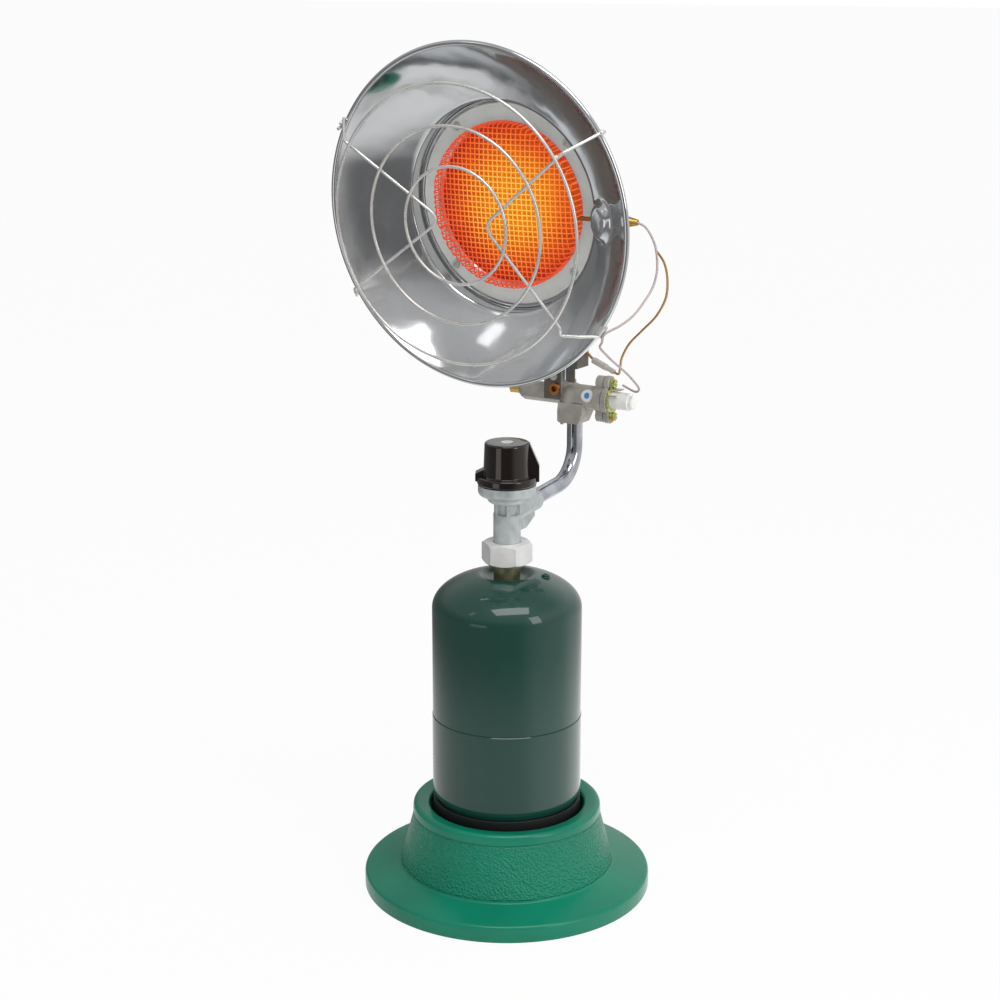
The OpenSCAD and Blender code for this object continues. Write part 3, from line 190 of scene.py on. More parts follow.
# direction, strength, and the cosines at which the lobe starts and is full
PANELS = {
    "right panel": (TOWARDS_RIGHT, 0.42, 0.55, 0.98),
    "left panel": (level(-1.35), 0.05, 0.5, 1.0),
    "back wall": (level(2.5), 0.50, 0.55, 0.98),
    "ceiling": ((0, 0, 1), 0.32, 0.1, 0.5),
}


def studio_light(tree, direction):
    """How bright the studio is in a direction."""
    total = None
    for aim, strength, start, end in PANELS.values():
        share = add(tree, "ShaderNodeVectorMath", {1: aim}, {0: direction}, operation="DOT_PRODUCT")
        part = add(tree, "ShaderNodeMapRange", across(0, strength, start, end), {"Value": share.outputs["Value"]},
                   interpolation_type="SMOOTHSTEP")
        sources = {0: part} if total is None else {0: part, 1: total}
        total = add(tree, "ShaderNodeMath", {1: NEAR_ROOM}, sources, operation="ADD")
    return total


print("panels:", ", ".join(PANELS))

# %% [markdown]
# ## Paper of the floor
# Matte paper. The camera sees it nearly white, since a cut-out has no grey floor, and a small share stays
# real paper that takes the shadow. Mirrors see painted light instead: an emission with the studio's panels,
# so that dark gloss stays dark, a paler sweep of light painted close to the stand, and a narrow bright strip
# painted further out that draws a line down glossy sides.

# %% Floor material
CAMERA_SHARE = 0.93
PAINTED_SWEEP = 0.60
PAINTED_STRIP = 0.9
tree, shader, place = new_material("matte_paper_backdrop", "#f4f4f4", 0.9)
rays = add(tree, "ShaderNodeLightPath")
glow = add(tree, "ShaderNodeEmission", {"Color": WHITE, "Strength": 1.0})
share = add(tree, "ShaderNodeMath", {1: CAMERA_SHARE}, {0: rays.outputs["Is Camera Ray"]}, operation="MULTIPLY")
seen = add(tree, "ShaderNodeMixShader", (), {0: share, 1: shader, 2: glow})
outwards = add(tree, "ShaderNodeVectorMath", (), {0: place}, operation="NORMALIZE")
away = add(tree, "ShaderNodeVectorMath", (), {0: place}, operation="LENGTH").outputs["Value"]
# painted pool of light round the stand, added to the floor's emission that only mirrors see
near = add(tree, "ShaderNodeMapRange", across(0, PAINTED_SWEEP, 0.62, 0.28), {"Value": away},
           interpolation_type="SMOOTHSTEP")
paper = add(tree, "ShaderNodeMath", (), {0: near, 1: studio_light(tree, outwards)}, operation="ADD")
along = add(tree, "ShaderNodeVectorMath", {1: level(-0.75)}, {0: outwards}, operation="DOT_PRODUCT")
# painted bright strip on the floor, seen only in mirrors
narrow = add(tree, "ShaderNodeMapRange", across(0, PAINTED_STRIP, 0.965, 0.985), {"Value": along.outputs["Value"]},
             interpolation_type="SMOOTHSTEP")
far = add(tree, "ShaderNodeMapRange", across(0, 1, 0.85, 0.95), {"Value": away})
strip = add(tree, "ShaderNodeMath", (), {0: narrow, 1: far}, operation="MULTIPLY")
paper = add(tree, "ShaderNodeMath", (), {0: paper, 1: strip}, operation="ADD")
mirrored = add(tree, "ShaderNodeEmission", {"Color": WHITE}, {"Strength": paper})
look = add(tree, "ShaderNodeMixShader", (), {0: rays.outputs["Is Glossy Ray"], 1: seen, 2: mirrored})
tree.links.new(look.outputs[0], tree.nodes["Material Output"].inputs["Surface"])
floor.data.materials.append(bpy.data.materials["matte_paper_backdrop"])
print("floor material has", len(tree.nodes), "nodes")

# %% [markdown]
# ## World
# The camera sees pure white. Mirrors and clear plastic see the studio. What lights matte surfaces is a
# soft slope from a dim side to a bright side, which gives round things their shading.

# %% World
DIM_SIDE = 0.26
BRIGHT_SIDE = 1.0
world = bpy.data.worlds.new("studio")
world.use_nodes = True
bpy.context.scene.world = world
tree = world.node_tree
tree.nodes.clear()
rays = add(tree, "ShaderNodeLightPath")
direction = add(tree, "ShaderNodeTexCoord").outputs["Generated"]
mirror_world = add(tree, "ShaderNodeBackground", {"Color": WHITE}, {"Strength": studio_light(tree, direction)})
white_world = add(tree, "ShaderNodeBackground", {"Color": WHITE, "Strength": 1.0})
side = add(tree, "ShaderNodeVectorMath", {1: TOWARDS_RIGHT}, {0: direction}, operation="DOT_PRODUCT")
soft = add(tree, "ShaderNodeMapRange", across(DIM_SIDE, BRIGHT_SIDE, -1, 1), {"Value": side.outputs["Value"]})
soft_world = add(tree, "ShaderNodeBackground", {"Color": WHITE}, {"Strength": soft})
shiny = add(tree, "ShaderNodeMath", (), {0: rays.outputs["Is Glossy Ray"], 1: rays.outputs["Is Transmission Ray"]},
            operation="MAXIMUM")
lit = add(tree, "ShaderNodeMixShader", (), {0: shiny, 1: soft_world, 2: mirror_world})
seen = add(tree, "ShaderNodeMixShader", (), {0: rays.outputs["Is Camera Ray"], 1: lit, 2: white_world})
add(tree, "ShaderNodeOutputWorld", (), {"Surface": seen})
print("world has", len(tree.nodes), "nodes")

# %% [markdown]
# ## Lamps
# Three softboxes. A small key at the left gives the dish one clean highlight, a tall one at the right draws
# the line down the cylinder and the knob, and a wide one above lights the dome and every upper face.
# Brightness is the radiance of the lamp's face, so a size can change without a change of its reflection.

# %% Lamps


def softbox(name, place, aim, width, height, brightness):
    """A rectangular area lamp whose face has the given radiance."""
    lamp = bpy.data.lights.new(name, "AREA")
    lamp.shape = "RECTANGLE"
    lamp.size, lamp.size_y = width, height
    lamp.energy = brightness * math.pi * width * height
    holder = bpy.data.objects.new(name, lamp)
    holder.location = place
    holder.rotation_euler = (Vector(aim) - Vector(place)).to_track_quat("-Z", "Y").to_euler()
    bpy.context.scene.collection.objects.link(holder)
    print(name, "watts:", round(lamp.energy, 2))


softbox("key_softbox", (-0.75, -1.15, 1.35), (0, 0, 0.35), 0.16, 0.40, 1.1)
softbox("side_softbox", (1.55, -0.35, 0.85), (0, 0, 0.35), 0.45, 0.95, 3.2)
softbox("top_softbox", (0.42, -0.44, 1.62), (0, 0, 0.30), 1.15, 0.62, 4.2)

# %% [markdown]
# ## Green polypropylene
# The stand is injection moulded, which gives a soft sheen. A leather grain is etched into the mould, but
# only on the cone: masks by radius and height keep the flange and the rim smooth. The grain is a cell
# pattern 1.6 mm wide, a little coarser than the real one so that it shows.

# %% Green polypropylene
tree, shader, place = new_material("moulded_green_polypropylene", "#10916c", 0.30, Specular_IOR_Level=0.4)
clouds = add(tree, "ShaderNodeTexNoise", {"Scale": per(45), "Detail": 3}, {"Vector": place})
colour = add(tree, "ShaderNodeMix", tones("#006b54", "#058a6a"), {0: clouds}, data_type="RGBA")
tree.links.new(colour.outputs[2], shader.inputs["Base Color"])
parts = add(tree, "ShaderNodeSeparateXYZ", (), {0: place}).outputs
flat = add(tree, "ShaderNodeCombineXYZ", (), {0: parts["X"], 1: parts["Y"]})
radius = add(tree, "ShaderNodeVectorMath", (), {0: flat}, operation="LENGTH").outputs["Value"]
outside = add(tree, "ShaderNodeMapRange", across(0, 1, 0.0600, 0.0606), {"Value": radius})
above = add(tree, "ShaderNodeMapRange", across(0, 1, 0.0168, 0.0178), {"Value": parts["Z"]})
below = add(tree, "ShaderNodeMapRange", across(1, 0, 0.0496, 0.0504), {"Value": parts["Z"]})
on_cone = add(tree, "ShaderNodeMath", (), {0: outside, 1: above}, operation="MULTIPLY")
on_cone = add(tree, "ShaderNodeMath", (), {0: on_cone, 1: below}, operation="MULTIPLY")
cells = add(tree, "ShaderNodeTexVoronoi", {"Scale": per(1.6)}, {"Vector": place}, feature="F1")
grain = add(tree, "ShaderNodeMath", (), {0: cells, 1: on_cone}, operation="MULTIPLY")
skin = add(tree, "ShaderNodeTexNoise", {"Scale": per(0.8)}, {"Vector": place})
under = add(tree, "ShaderNodeBump", {"Distance": 0.01 * MM}, {"Height": skin})
bump = add(tree, "ShaderNodeBump", {"Distance": 0.8 * MM}, {"Height": grain, "Normal": under})
tree.links.new(bump.outputs[0], shader.inputs["Normal"])
sheen = add(tree, "ShaderNodeMapRange", across(0.26, 0.36, 0, 1), {"Value": on_cone})
tree.links.new(sheen.outputs[0], shader.inputs["Roughness"])
print("green polypropylene has", len(tree.nodes), "nodes")

# %% [markdown]
# ## Dark green enamel
# The gas cylinder is sprayed with gloss enamel. The clear coat makes the sharp highlights, the colour under
# it is dull, and a bump 2.2 mm wide and a hundredth of a millimetre deep is its orange peel.

# %% Dark green enamel
tree, shader, place = new_material("sprayed_dark_green_enamel", "#12382f", 0.42, Coat_Weight=0.9,
                                   Coat_Roughness=0.05, Specular_IOR_Level=0.2)
clouds = add(tree, "ShaderNodeTexNoise", {"Scale": per(60)}, {"Vector": place})
colour = add(tree, "ShaderNodeMix", tones("#09382f", "#0d4237"), {0: clouds}, data_type="RGBA")
tree.links.new(colour.outputs[2], shader.inputs["Base Color"])
peel = add(tree, "ShaderNodeTexNoise", {"Scale": per(2.2), "Detail": 1}, {"Vector": place})
bump = add(tree, "ShaderNodeBump", {"Distance": 0.012 * MM}, {"Height": peel})
tree.links.new(bump.outputs[0], shader.inputs["Normal"])
print("enamel has", len(tree.nodes), "nodes")

# %% [markdown]
# ## Black polyethylene
# The cylinder's foot ring is a soft black moulding, matte and slightly grained. One noise drives both the
# bumps and the roughness, because on a real moulding the hollows are also the duller places.

# %% Black polyethylene
tree, shader, place = new_material("moulded_black_polyethylene", "#141313", 0.45)
grain = add(tree, "ShaderNodeTexNoise", {"Scale": per(0.9), "Detail": 3}, {"Vector": place})
bump = add(tree, "ShaderNodeBump", {"Distance": 0.03 * MM}, {"Height": grain})
tree.links.new(bump.outputs[0], shader.inputs["Normal"])
dull = add(tree, "ShaderNodeMapRange", across(0.38, 0.55), {"Value": grain})
tree.links.new(dull.outputs[0], shader.inputs["Roughness"])
print("black polyethylene has", len(tree.nodes), "nodes")

# %% [markdown]
# ## Black phenolic
# The knob is compression moulded from phenolic and polished, so it is nearly black with a hard gloss. Its
# highlights are faintly warm, which the tint of the specular gives.

# %% Black phenolic
tree, shader, place = new_material("polished_black_phenolic", "#070505", 0.10, Coat_Weight=1.0,
                                   Coat_Roughness=0.02, Specular_Tint=linear("#e0c0b0"))
flow = add(tree, "ShaderNodeTexNoise", {"Scale": per(12), "Detail": 4}, {"Vector": place})
colour = add(tree, "ShaderNodeMix", tones("#060404", "#0d0908"), {0: flow}, data_type="RGBA")
tree.links.new(colour.outputs[2], shader.inputs["Base Color"])
gloss = add(tree, "ShaderNodeMapRange", across(0.07, 0.14), {"Value": flow})
tree.links.new(gloss.outputs[0], shader.inputs["Roughness"])
waves = add(tree, "ShaderNodeTexNoise", {"Scale": per(2.5)}, {"Vector": place})
bump = add(tree, "ShaderNodeBump", {"Distance": 0.004 * MM}, {"Height": waves})
tree.links.new(bump.outputs[0], shader.inputs["Normal"])
print("phenolic has", len(tree.nodes), "nodes")

# %% [markdown]
# ## White nylon
# The knob's cap and the push button are moulded nylon: white and slightly waxy, with a soft gloss.

# %% White nylon
tree, shader, place = new_material("moulded_white_nylon", "#f6f6f4", 0.34)
clouds = add(tree, "ShaderNodeTexNoise", {"Scale": per(5), "Detail": 3}, {"Vector": place})
colour = add(tree, "ShaderNodeMix", tones("#f0f0ec", "#fbfbf9"), {0: clouds}, data_type="RGBA")
tree.links.new(colour.outputs[2], shader.inputs["Base Color"])
bump = add(tree, "ShaderNodeBump", {"Distance": 0.02 * MM}, {"Height": clouds})
tree.links.new(bump.outputs[0], shader.inputs["Normal"])
print("nylon has", len(tree.nodes), "nodes")

# %% [markdown]
# ## Clear vinyl
# The connector on the lead wears a moulded sleeve of clear vinyl, cloudy with age. A third of the light
# goes through it, which is enough at this size.

# %% Clear vinyl
tree, shader, place = new_material("moulded_clear_vinyl", "#d9d2c8", 0.22, Transmission_Weight=0.35, IOR=1.5)
clouds = add(tree, "ShaderNodeTexNoise", {"Scale": per(3), "Detail": 3}, {"Vector": place})
colour = add(tree, "ShaderNodeMix", tones("#cbc2b6", "#ece8e2"), {0: clouds}, data_type="RGBA")
tree.links.new(colour.outputs[2], shader.inputs["Base Color"])
print("vinyl has", len(tree.nodes), "nodes")

# %% [markdown]
# ## Rubber and polyester
# The seals are moulded nitrile rubber, black and matte. The tip-over switch has a case of moulded grey
# polyester filled with glass. Both are plain mouldings with a fine grain, so one loop makes the two.

# %% Rubber and polyester
for name, colour, roughness, grain_mm in (("moulded_nitrile_rubber", "#1b1b1a", 0.7, 0.5),
                                          ("moulded_grey_polyester", "#c4c4c0", 0.4, 0.6)):
    tree, shader, place = new_material(name, colour, roughness)
    grain = add(tree, "ShaderNodeTexNoise", {"Scale": per(grain_mm)}, {"Vector": place})
    bump = add(tree, "ShaderNodeBump", {"Distance": 0.02 * MM}, {"Height": grain})
    tree.links.new(bump.outputs[0], shader.inputs["Normal"])
    print(name, "has", len(tree.nodes), "nodes")

# %% [markdown]
# ## Cast metals
# Zinc and aluminium are cast under pressure in a steel mould. The skin is blotchy, finely pitted and
# covered by a film of dull oxide, which scatters light: so it is less than fully metallic. All metals here
# keep the default IOR, and differ in colour, roughness and the marks that making them leaves.

# %% Cast metals


def cast_metal(name, dark, light, roughness, grain_mm, depth_mm):
    """A pressure die-cast skin: blotchy colour, fine pitting, uneven gloss."""
    tree, shader, place = new_material(name, light, roughness, 0.4)
    blotches = add(tree, "ShaderNodeTexNoise", {"Scale": per(7), "Detail": 6, "Roughness": 0.6}, {"Vector": place})
    share = add(tree, "ShaderNodeMapRange", across(0, 1), {"Value": blotches})
    colour = add(tree, "ShaderNodeMix", tones(dark, light), {0: share}, data_type="RGBA")
    tree.links.new(colour.outputs[2], shader.inputs["Base Color"])
    gloss = add(tree, "ShaderNodeMapRange", across(roughness - 0.08, roughness + 0.1), {"Value": blotches})
    tree.links.new(gloss.outputs[0], shader.inputs["Roughness"])
    pits = add(tree, "ShaderNodeTexNoise", {"Scale": per(grain_mm), "Detail": 5, "Roughness": 0.7},
               {"Vector": place})
    bump = add(tree, "ShaderNodeBump", {"Distance": depth_mm * MM}, {"Height": pits})
    tree.links.new(bump.outputs[0], shader.inputs["Normal"])
    print(name, "has", len(tree.nodes), "nodes")


cast_metal("tumbled_zinc_casting", "#adb3b4", "#cdd2d3", 0.42, 1.1, 0.05)
cast_metal("satin_grey_casting", "#a5a199", "#c9c5bc", 0.46, 1.3, 0.08)

# %% [markdown]
# ## Worked metals
# Rolled, drawn and turned metals share one recipe: a colour that drifts a little, and fine lines that run
# the way the metal was worked. A Mapping node stretches the noise into those lines: a small scale along an
# axis makes them long on it. Turning marks run round the piece, so they are long in X and Y.

# %% Recipe of the worked metals
ROUND = (1, 1, 1)
ALONG_Z = (1, 1, 0.06)
TURNED = (0.12, 0.12, 1)


def worked_metal(name, dark, light, roughness, line_mm, stretch, depth_mm, cloud_mm=14, metallic=1.0):
    """Fine lines along the direction in which the metal was drawn, turned or brushed."""
    tree, shader, place = new_material(name, light, roughness, metallic)
    clouds = add(tree, "ShaderNodeTexNoise", {"Scale": per(cloud_mm), "Detail": 3}, {"Vector": place})
    share = add(tree, "ShaderNodeMapRange", across(0, 1), {"Value": clouds})
    colour = add(tree, "ShaderNodeMix", tones(dark, light), {0: share}, data_type="RGBA")
    tree.links.new(colour.outputs[2], shader.inputs["Base Color"])
    drawn = add(tree, "ShaderNodeMapping", {"Scale": stretch}, {"Vector": place})
    lines = add(tree, "ShaderNodeTexNoise", {"Scale": per(line_mm), "Detail": 4}, {"Vector": drawn})
    gloss = add(tree, "ShaderNodeMapRange", across(roughness * 0.75, roughness * 1.3), {"Value": lines})
    tree.links.new(gloss.outputs[0], shader.inputs["Roughness"])
    bump = add(tree, "ShaderNodeBump", {"Distance": depth_mm * MM}, {"Height": lines})
    tree.links.new(bump.outputs[0], shader.inputs["Normal"])
    print(name, "has", len(tree.nodes), "nodes")
    return tree, shader, place


# %% [markdown]
# The bright ones are fully metallic. Machined aluminium, the pale pressed ring and the phosphated sheet
# carry a film that scatters light, so their metallic value is lower.

# %% Worked metals
worked_metal("chromed_steel_tube", "#a9acb6", "#dcdee4", 0.07, 3.0, ROUND, 0.012)
worked_metal("machined_aluminium", "#dddedd", "#f4f4f2", 0.38, 0.8, TURNED, 0.03, metallic=0.4)
worked_metal("bright_drawn_wire", "#dedcd9", "#f2f0ed", 0.30, 6.0, ROUND, 0.002, metallic=0.75)
worked_metal("turned_brass", "#a9803a", "#d9b566", 0.26, 0.5, TURNED, 0.015)
worked_metal("drawn_copper", "#a5612f", "#dd9a5c", 0.28, 0.9, ROUND, 0.015)
worked_metal("zinc_plated_steel", "#95938c", "#c4c2ba", 0.32, 0.7, ROUND, 0.015)
worked_metal("phosphated_sheet_steel", "#5a544d", "#807a71", 0.42, 0.8, ROUND, 0.02, metallic=0.7)
worked_metal("pressed_aluminium_ring", "#eceeea", "#fafbf8", 0.5, 1.0, ROUND, 0.02, metallic=0.1)
worked_metal("weathered_zinc_plating", "#77735a", "#a7a385", 0.42, 0.8, TURNED, 0.02)
worked_metal("heat_tinted_stainless", "#6d625c", "#a79c92", 0.34, 1.2, ALONG_Z, 0.02, 22)

# %% [markdown]
# ## Yellow chromate
# The valve's plate and its screws are zinc plated and dipped in yellow chromate, which leaves a green and
# gold shimmer. It starts as a worked metal, and a colour ramp then takes the place of its colour.

# %% Yellow chromate
tree, shader, place = worked_metal("yellow_chromated_zinc", "#b9bd5c", "#dfe2a0", 0.3, 0.9, ROUND, 0.02, 5)
drift = add(tree, "ShaderNodeTexNoise", {"Scale": per(4)}, {"Vector": place})
shimmer = add(tree, "ShaderNodeValToRGB", (), {"Fac": drift})
ends = shimmer.color_ramp.elements
ends[0].position, ends[0].color = 0.32, linear("#a5b866")
ends[1].position, ends[1].color = 0.7, linear("#d5a24e")
ends.new(0.5).color = linear("#dde3a6")
tree.links.new(shimmer.outputs["Color"], shader.inputs["Base Color"])
print("shimmer has", len(ends), "colours")

# %% [markdown]
# ## Assigning finishes to the solids
# Most solids already have the right shape, so they keep their mesh and only get a material. A table from
# finish to nodes is easier to read and to change than a line for each node.

# %% Finish of every node
FINISH = {
    "moulded_green_polypropylene": ["base_stand"],
    "sprayed_dark_green_enamel": ["cylinder_lower_shell", "cylinder_upper_shell", "relief_valve"],
    "moulded_black_polyethylene": ["cylinder_foot_ring"],
    "weathered_zinc_plating": ["cylinder_valve"],
    "turned_brass": ["cylinder_valve_pin", "knob_spindle", "valve_plunger", "valve_seat",
                     "end_plug", "gas_orifice", "thermocouple_fitting"],
    "moulded_nitrile_rubber": ["inlet_seal", "regulator_diaphragm", "valve_gasket"],
    "machined_aluminium": ["hex_nut"],
    "tumbled_zinc_casting": ["regulator_body", "regulator_bonnet"],
    "bright_drawn_wire": ["regulator_spring", "button_spring", "guard_rings", "guard_cross_wires"],
    "polished_black_phenolic": ["control_knob"],
    "moulded_white_nylon": ["knob_cap", "safety_button"],
    "chromed_steel_tube": ["arm_tube", "outlet_pipe"],
    "satin_grey_casting": ["valve_body", "valve_cover"],
    "yellow_chromated_zinc": ["terminal_plate", "cover_screws"],
    "zinc_plated_steel": ["lead_terminals", "clamp_screw", "bracket_screw", "tilt_pivots", "burner_screws",
                          "lead_clip"],
    "drawn_copper": ["magnet_unit", "test_nipple", "thermocouple"],
    "phosphated_sheet_steel": ["support_bracket", "head_yoke"],
    "moulded_grey_polyester": ["tip_over_switch"],
    "heat_tinted_stainless": ["mixing_tube", "burner_pan"],
    "pressed_aluminium_ring": ["trim_ring"],
    "moulded_clear_vinyl": ["lead_connector"],
}
finish_of = {node: finish for finish, names in FINISH.items() for node in names}


def give(thing, finish):
    """Makes a finish the only material of an object."""
    thing.data.materials.clear()
    thing.data.materials.append(bpy.data.materials[finish])


for node, finish in finish_of.items():
    give(nodes[node], finish)
print("nodes with a finish:", len(finish_of))

# %% [markdown]
# ## Pieces
# A finished piece is an object at the origin, with its place in its mesh, as the solids have it. Smooth
# shading with sharp edges above an angle keeps round things round and corners crisp. The piece rides on the
# body that moves it, and hides the solids that it stands for.

# %% Helper for pieces
SHARP = math.radians(32)


def piece(name, shape, finish, body, replaces=(), sharp=SHARP):
    """Turns a bmesh into an object that rides on a body and stands for CAD nodes."""
    for face in shape.faces:
        face.smooth = True
    for edge in shape.edges:
        edge.smooth = len(edge.link_faces) != 2 or edge.calc_face_angle(0) < sharp
    mesh = bpy.data.meshes.new(name)
    shape.to_mesh(mesh)
    shape.free()
    made = bpy.data.objects.new(name, mesh)
    bpy.context.scene.collection.objects.link(made)
    mesh.materials.append(bpy.data.materials[finish])
    if body:
        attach(made, body)
    if replaces:
        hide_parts(*replaces)
    print(name, "faces:", len(mesh.polygons))
    return made


print("edges above", round(math.degrees(SHARP)), "degrees stay sharp")

# %% [markdown]
# ## Rounded edges for cast and machined parts
# No real edge is perfectly sharp, and the thin highlight along it is what makes a casting look solid. These
# pieces are copies of the solids' meshes, merged and with their flat faces joined, because a bevel needs
# whole faces to run along. The Bevel modifier finds the edges by their angle, so none is picked by hand.

# %% Cast, machined and moulded parts


def round_edges(thing, width_mm, segments=2, angle=35):
    """A bevel on the edges sharper than an angle, in degrees."""
    bevel = thing.modifiers.new("rounded_edges", "BEVEL")
    bevel.width = width_mm * MM
    bevel.segments = segments
    bevel.limit_method = "ANGLE"
    bevel.angle_limit = math.radians(angle)
    bevel.harden_normals = True


def softened(node, width_mm, segments=2):
    """A copy of a CAD node with rounded edges, which stands for it."""
    shape = bmesh.new()
    shape.from_mesh(nodes[node].data)
    bmesh.ops.remove_doubles(shape, verts=shape.verts, dist=1e-6)
    bmesh.ops.dissolve_limit(shape, angle_limit=math.radians(0.5), verts=shape.verts, edges=shape.edges)
    made = piece(node + "_finished", shape, finish_of[node], body_of[node], [node])
    round_edges(made, width_mm, segments)
    return made


EDGES = {
    "regulator_body": 0.5, "valve_body": 0.5, "valve_cover": 0.6, "terminal_plate": 0.15, "cover_screws": 0.25,
    "support_bracket": 0.2, "bracket_screw": 0.25, "tilt_pivots": 0.25, "test_nipple": 0.2, "end_plug": 0.2,
    "safety_button": 0.5, "tip_over_switch": 0.4, "head_yoke": 0.2, "lead_terminals": 0.12,
    "cylinder_foot_ring": 0.4, "thermocouple_fitting": 0.2, "burner_screws": 0.2, "clamp_screw": 0.2,
    "gas_orifice": 0.15, "lead_connector": 0.4, "hex_nut": 0.35,
}
for node, width in EDGES.items():
    softened(node, width)
print("pieces with rounded edges:", len(EDGES))

# %% [markdown]
# ## Outlines
# Turned, spun and moulded pieces start as half of their section. It is easiest to write down as a few
# corners with a radius each, and this function draws the arcs: it finds the centre of each arc on the
# line that halves the corner, and turns a spoke round it.

# %% Rounded outlines


def rounded(corners, steps=6):
    """A closed outline whose corners (x, y, radius) in mm are rounded with arcs."""
    points = []
    for i, (x, y, radius) in enumerate(corners):
        here = Vector((x, y))
        if not radius:
            points.append(here)
            continue
        before = Vector(corners[i - 1][:2]) - here
        after = Vector(corners[(i + 1) % len(corners)][:2]) - here
        half = before.angle(after) / 2
        cut = min(radius / math.tan(half), 0.48 * before.length, 0.48 * after.length)
        centre = here + (before.normalized() + after.normalized()).normalized() * (cut / math.cos(half))
        start = here + before.normalized() * cut - centre
        turn = start.angle_signed(here + after.normalized() * cut - centre)
        for k in range(steps + 1):
            spoke = start.copy()
            spoke.rotate(Matrix.Rotation(-turn * k / steps, 2))
            points.append(centre + spoke)
    return points


print("a square with round corners has", len(rounded([(0, 0, 1), (9, 0, 1), (9, 9, 1), (0, 9, 1)])), "points")

# %% [markdown]
# ## Spinning
# A lathe makes its shape by turning, and so does the spin operator. It joins the last step to the first,
# and the points that lie on the axis are merged, so that the poles are closed.

# %% Spun shapes


def spun(outline, closed=True, steps=128):
    """Spins an outline of (radius, height) in mm once round Z."""
    shape = bmesh.new()
    verts = [shape.verts.new((x * MM, 0, z * MM)) for x, z in outline]
    edges = [shape.edges.new(pair) for pair in zip(verts, verts[1:])]
    if closed:
        edges.append(shape.edges.new((verts[-1], verts[0])))
    bmesh.ops.spin(shape, geom=verts + edges, cent=(0, 0, 0), axis=(0, 0, 1), angle=math.tau, steps=steps,
                   use_merge=True)
    bmesh.ops.remove_doubles(shape, verts=shape.verts, dist=1e-6)
    bmesh.ops.recalc_face_normals(shape, faces=shape.faces)
    return shape


sample = spun([(5, 0), (6, 0), (6, 1), (5, 1)], steps=8)
print("a square ring in 8 steps has", len(sample.faces), "faces")
sample.free()

# %% [markdown]
# ## The stand
# The stand is one moulding: a wide flange, a cone with leather grain, a smooth rolled rim and a cup.
# Spinning one outline with true arcs at its corners gives it clean highlights. Underneath, a foot in the
# middle and six ribs stiffen it, as they would in the mould. They are a cylinder and six boxes, and each
# rib runs from the foot to the wall of the flange.

# %% Stand
low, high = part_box("base_stand")
stand_r = high.x / MM
stand_outline = rounded([
    (stand_r - 2.4, 0, 0), (stand_r, 0, 0.6), (stand_r, 10.8, 2.6), (71.5, 15.4, 1.6), (62, 51.0, 0.3),
    (62.7, 51.5, 0.5), (62.4, 58.6, 5.4), (51.2, 57.2, 2.6), (51.2, 42, 1), (0, 42, 0), (0, 39.6, 0),
    (53.6, 39.6, 0.5), (53.6, 50.5, 0.5), (59.9, 50.5, 0.5), (69.1, 13, 1), (stand_r - 3.4, 7.7, 1)])
shape = spun(stand_outline, steps=160)
FOOT_R = 7
FOOT_H = 39.6
RIB = (84, 2, 5.2)
bmesh.ops.create_cone(shape, cap_ends=True, segments=32, radius1=FOOT_R * MM, radius2=FOOT_R * MM,
                      depth=FOOT_H * MM, matrix=Matrix.Translation((0, 0, FOOT_H / 2 * MM)))
for i in range(6):
    turned = Matrix.Rotation(i * math.pi / 3, 4, "Z") @ Matrix.Translation((48 * MM, 0, 4.6 * MM))
    bmesh.ops.create_cube(shape, size=1, matrix=turned @ Matrix.Diagonal((*[side * MM for side in RIB], 1)))
piece("stand", shape, "moulded_green_polypropylene", "base", ["base_stand"])

# %% [markdown]
# ## The gas cylinder's lower shell
# Two deep-drawn shells meet in a joggled seam: the lower one is a hair wider, and the upper one slips into
# it. The lower shell is a straight wall over a round corner and a flat bottom, so one outline is spun.

# %% Lower shell
tank_r, seam_z = 49, 120
wide_r = tank_r + 0.3
wall_r = wide_r - 1.4
bottom_z, floor_z = 54, 55.6
corner_r = 16
foot_arc = [(wide_r - corner_r + corner_r * math.cos(a), bottom_z + corner_r + corner_r * math.sin(a))
            for a in [math.radians(-90 + 6 * k) for k in range(16)]]
lower = [(0, bottom_z)] + foot_arc + [(wide_r, seam_z - 0.5), (wide_r - 0.5, seam_z), (wall_r, seam_z),
                                      (wall_r, 72), (34, floor_z), (0, floor_z)]
piece("lower_shell", spun(lower), "sprayed_dark_green_enamel", "cylinder", ["cylinder_lower_shell"])

# %% [markdown]
# ## The gas cylinder's upper shell
# The dome is half an ellipse, half as high as the shell's radius, and it sinks a little round the neck. An
# ellipse alone can't sink, so a smooth step blends it into the flat ring round the neck.

# %% Upper shell
shoulder_z, dome_h = 193, 24.6
dip_r, dip_width, neck_r, neck_z = 18.5, 6, 8.72, 212.6


def dome_height(radius):
    """Height of the dome, with its soft dip round the neck."""
    height = shoulder_z + dome_h * math.sqrt(max(0, 1 - (radius / tank_r) ** 2))
    dip = min(1, max(0, (dip_r - radius) / dip_width))
    smooth = dip * dip * (3 - 2 * dip)
    return height * (1 - smooth) + neck_z * smooth


crown = [(tank_r * math.sin(a), dome_height(tank_r * math.sin(a)))
         for a in [math.radians(90 - 2.5 * k) for k in range(1, 32)]]
crown = [p for p in crown if p[0] > 9.5]
upper = [(tank_r - 1.3, seam_z - 5.9), (tank_r - 1.15, seam_z - 0.2), (tank_r, seam_z + 0.35)]
upper += [(tank_r, shoulder_z)] + crown + [(neck_r, neck_z), (neck_r, neck_z - 1.2), (30, 207)]
upper += [(tank_r - 1.5, 190), (tank_r - 2.5, seam_z - 5.9)]
piece("upper_shell", spun(upper), "sprayed_dark_green_enamel", "cylinder", ["cylinder_upper_shell"])

# %% [markdown]
# ## The relief valve
# A small ring stands in the dome, with a hole in its middle. It is spun round Z from its own outline, and
# then moved to the middle of the solid that it stands for.

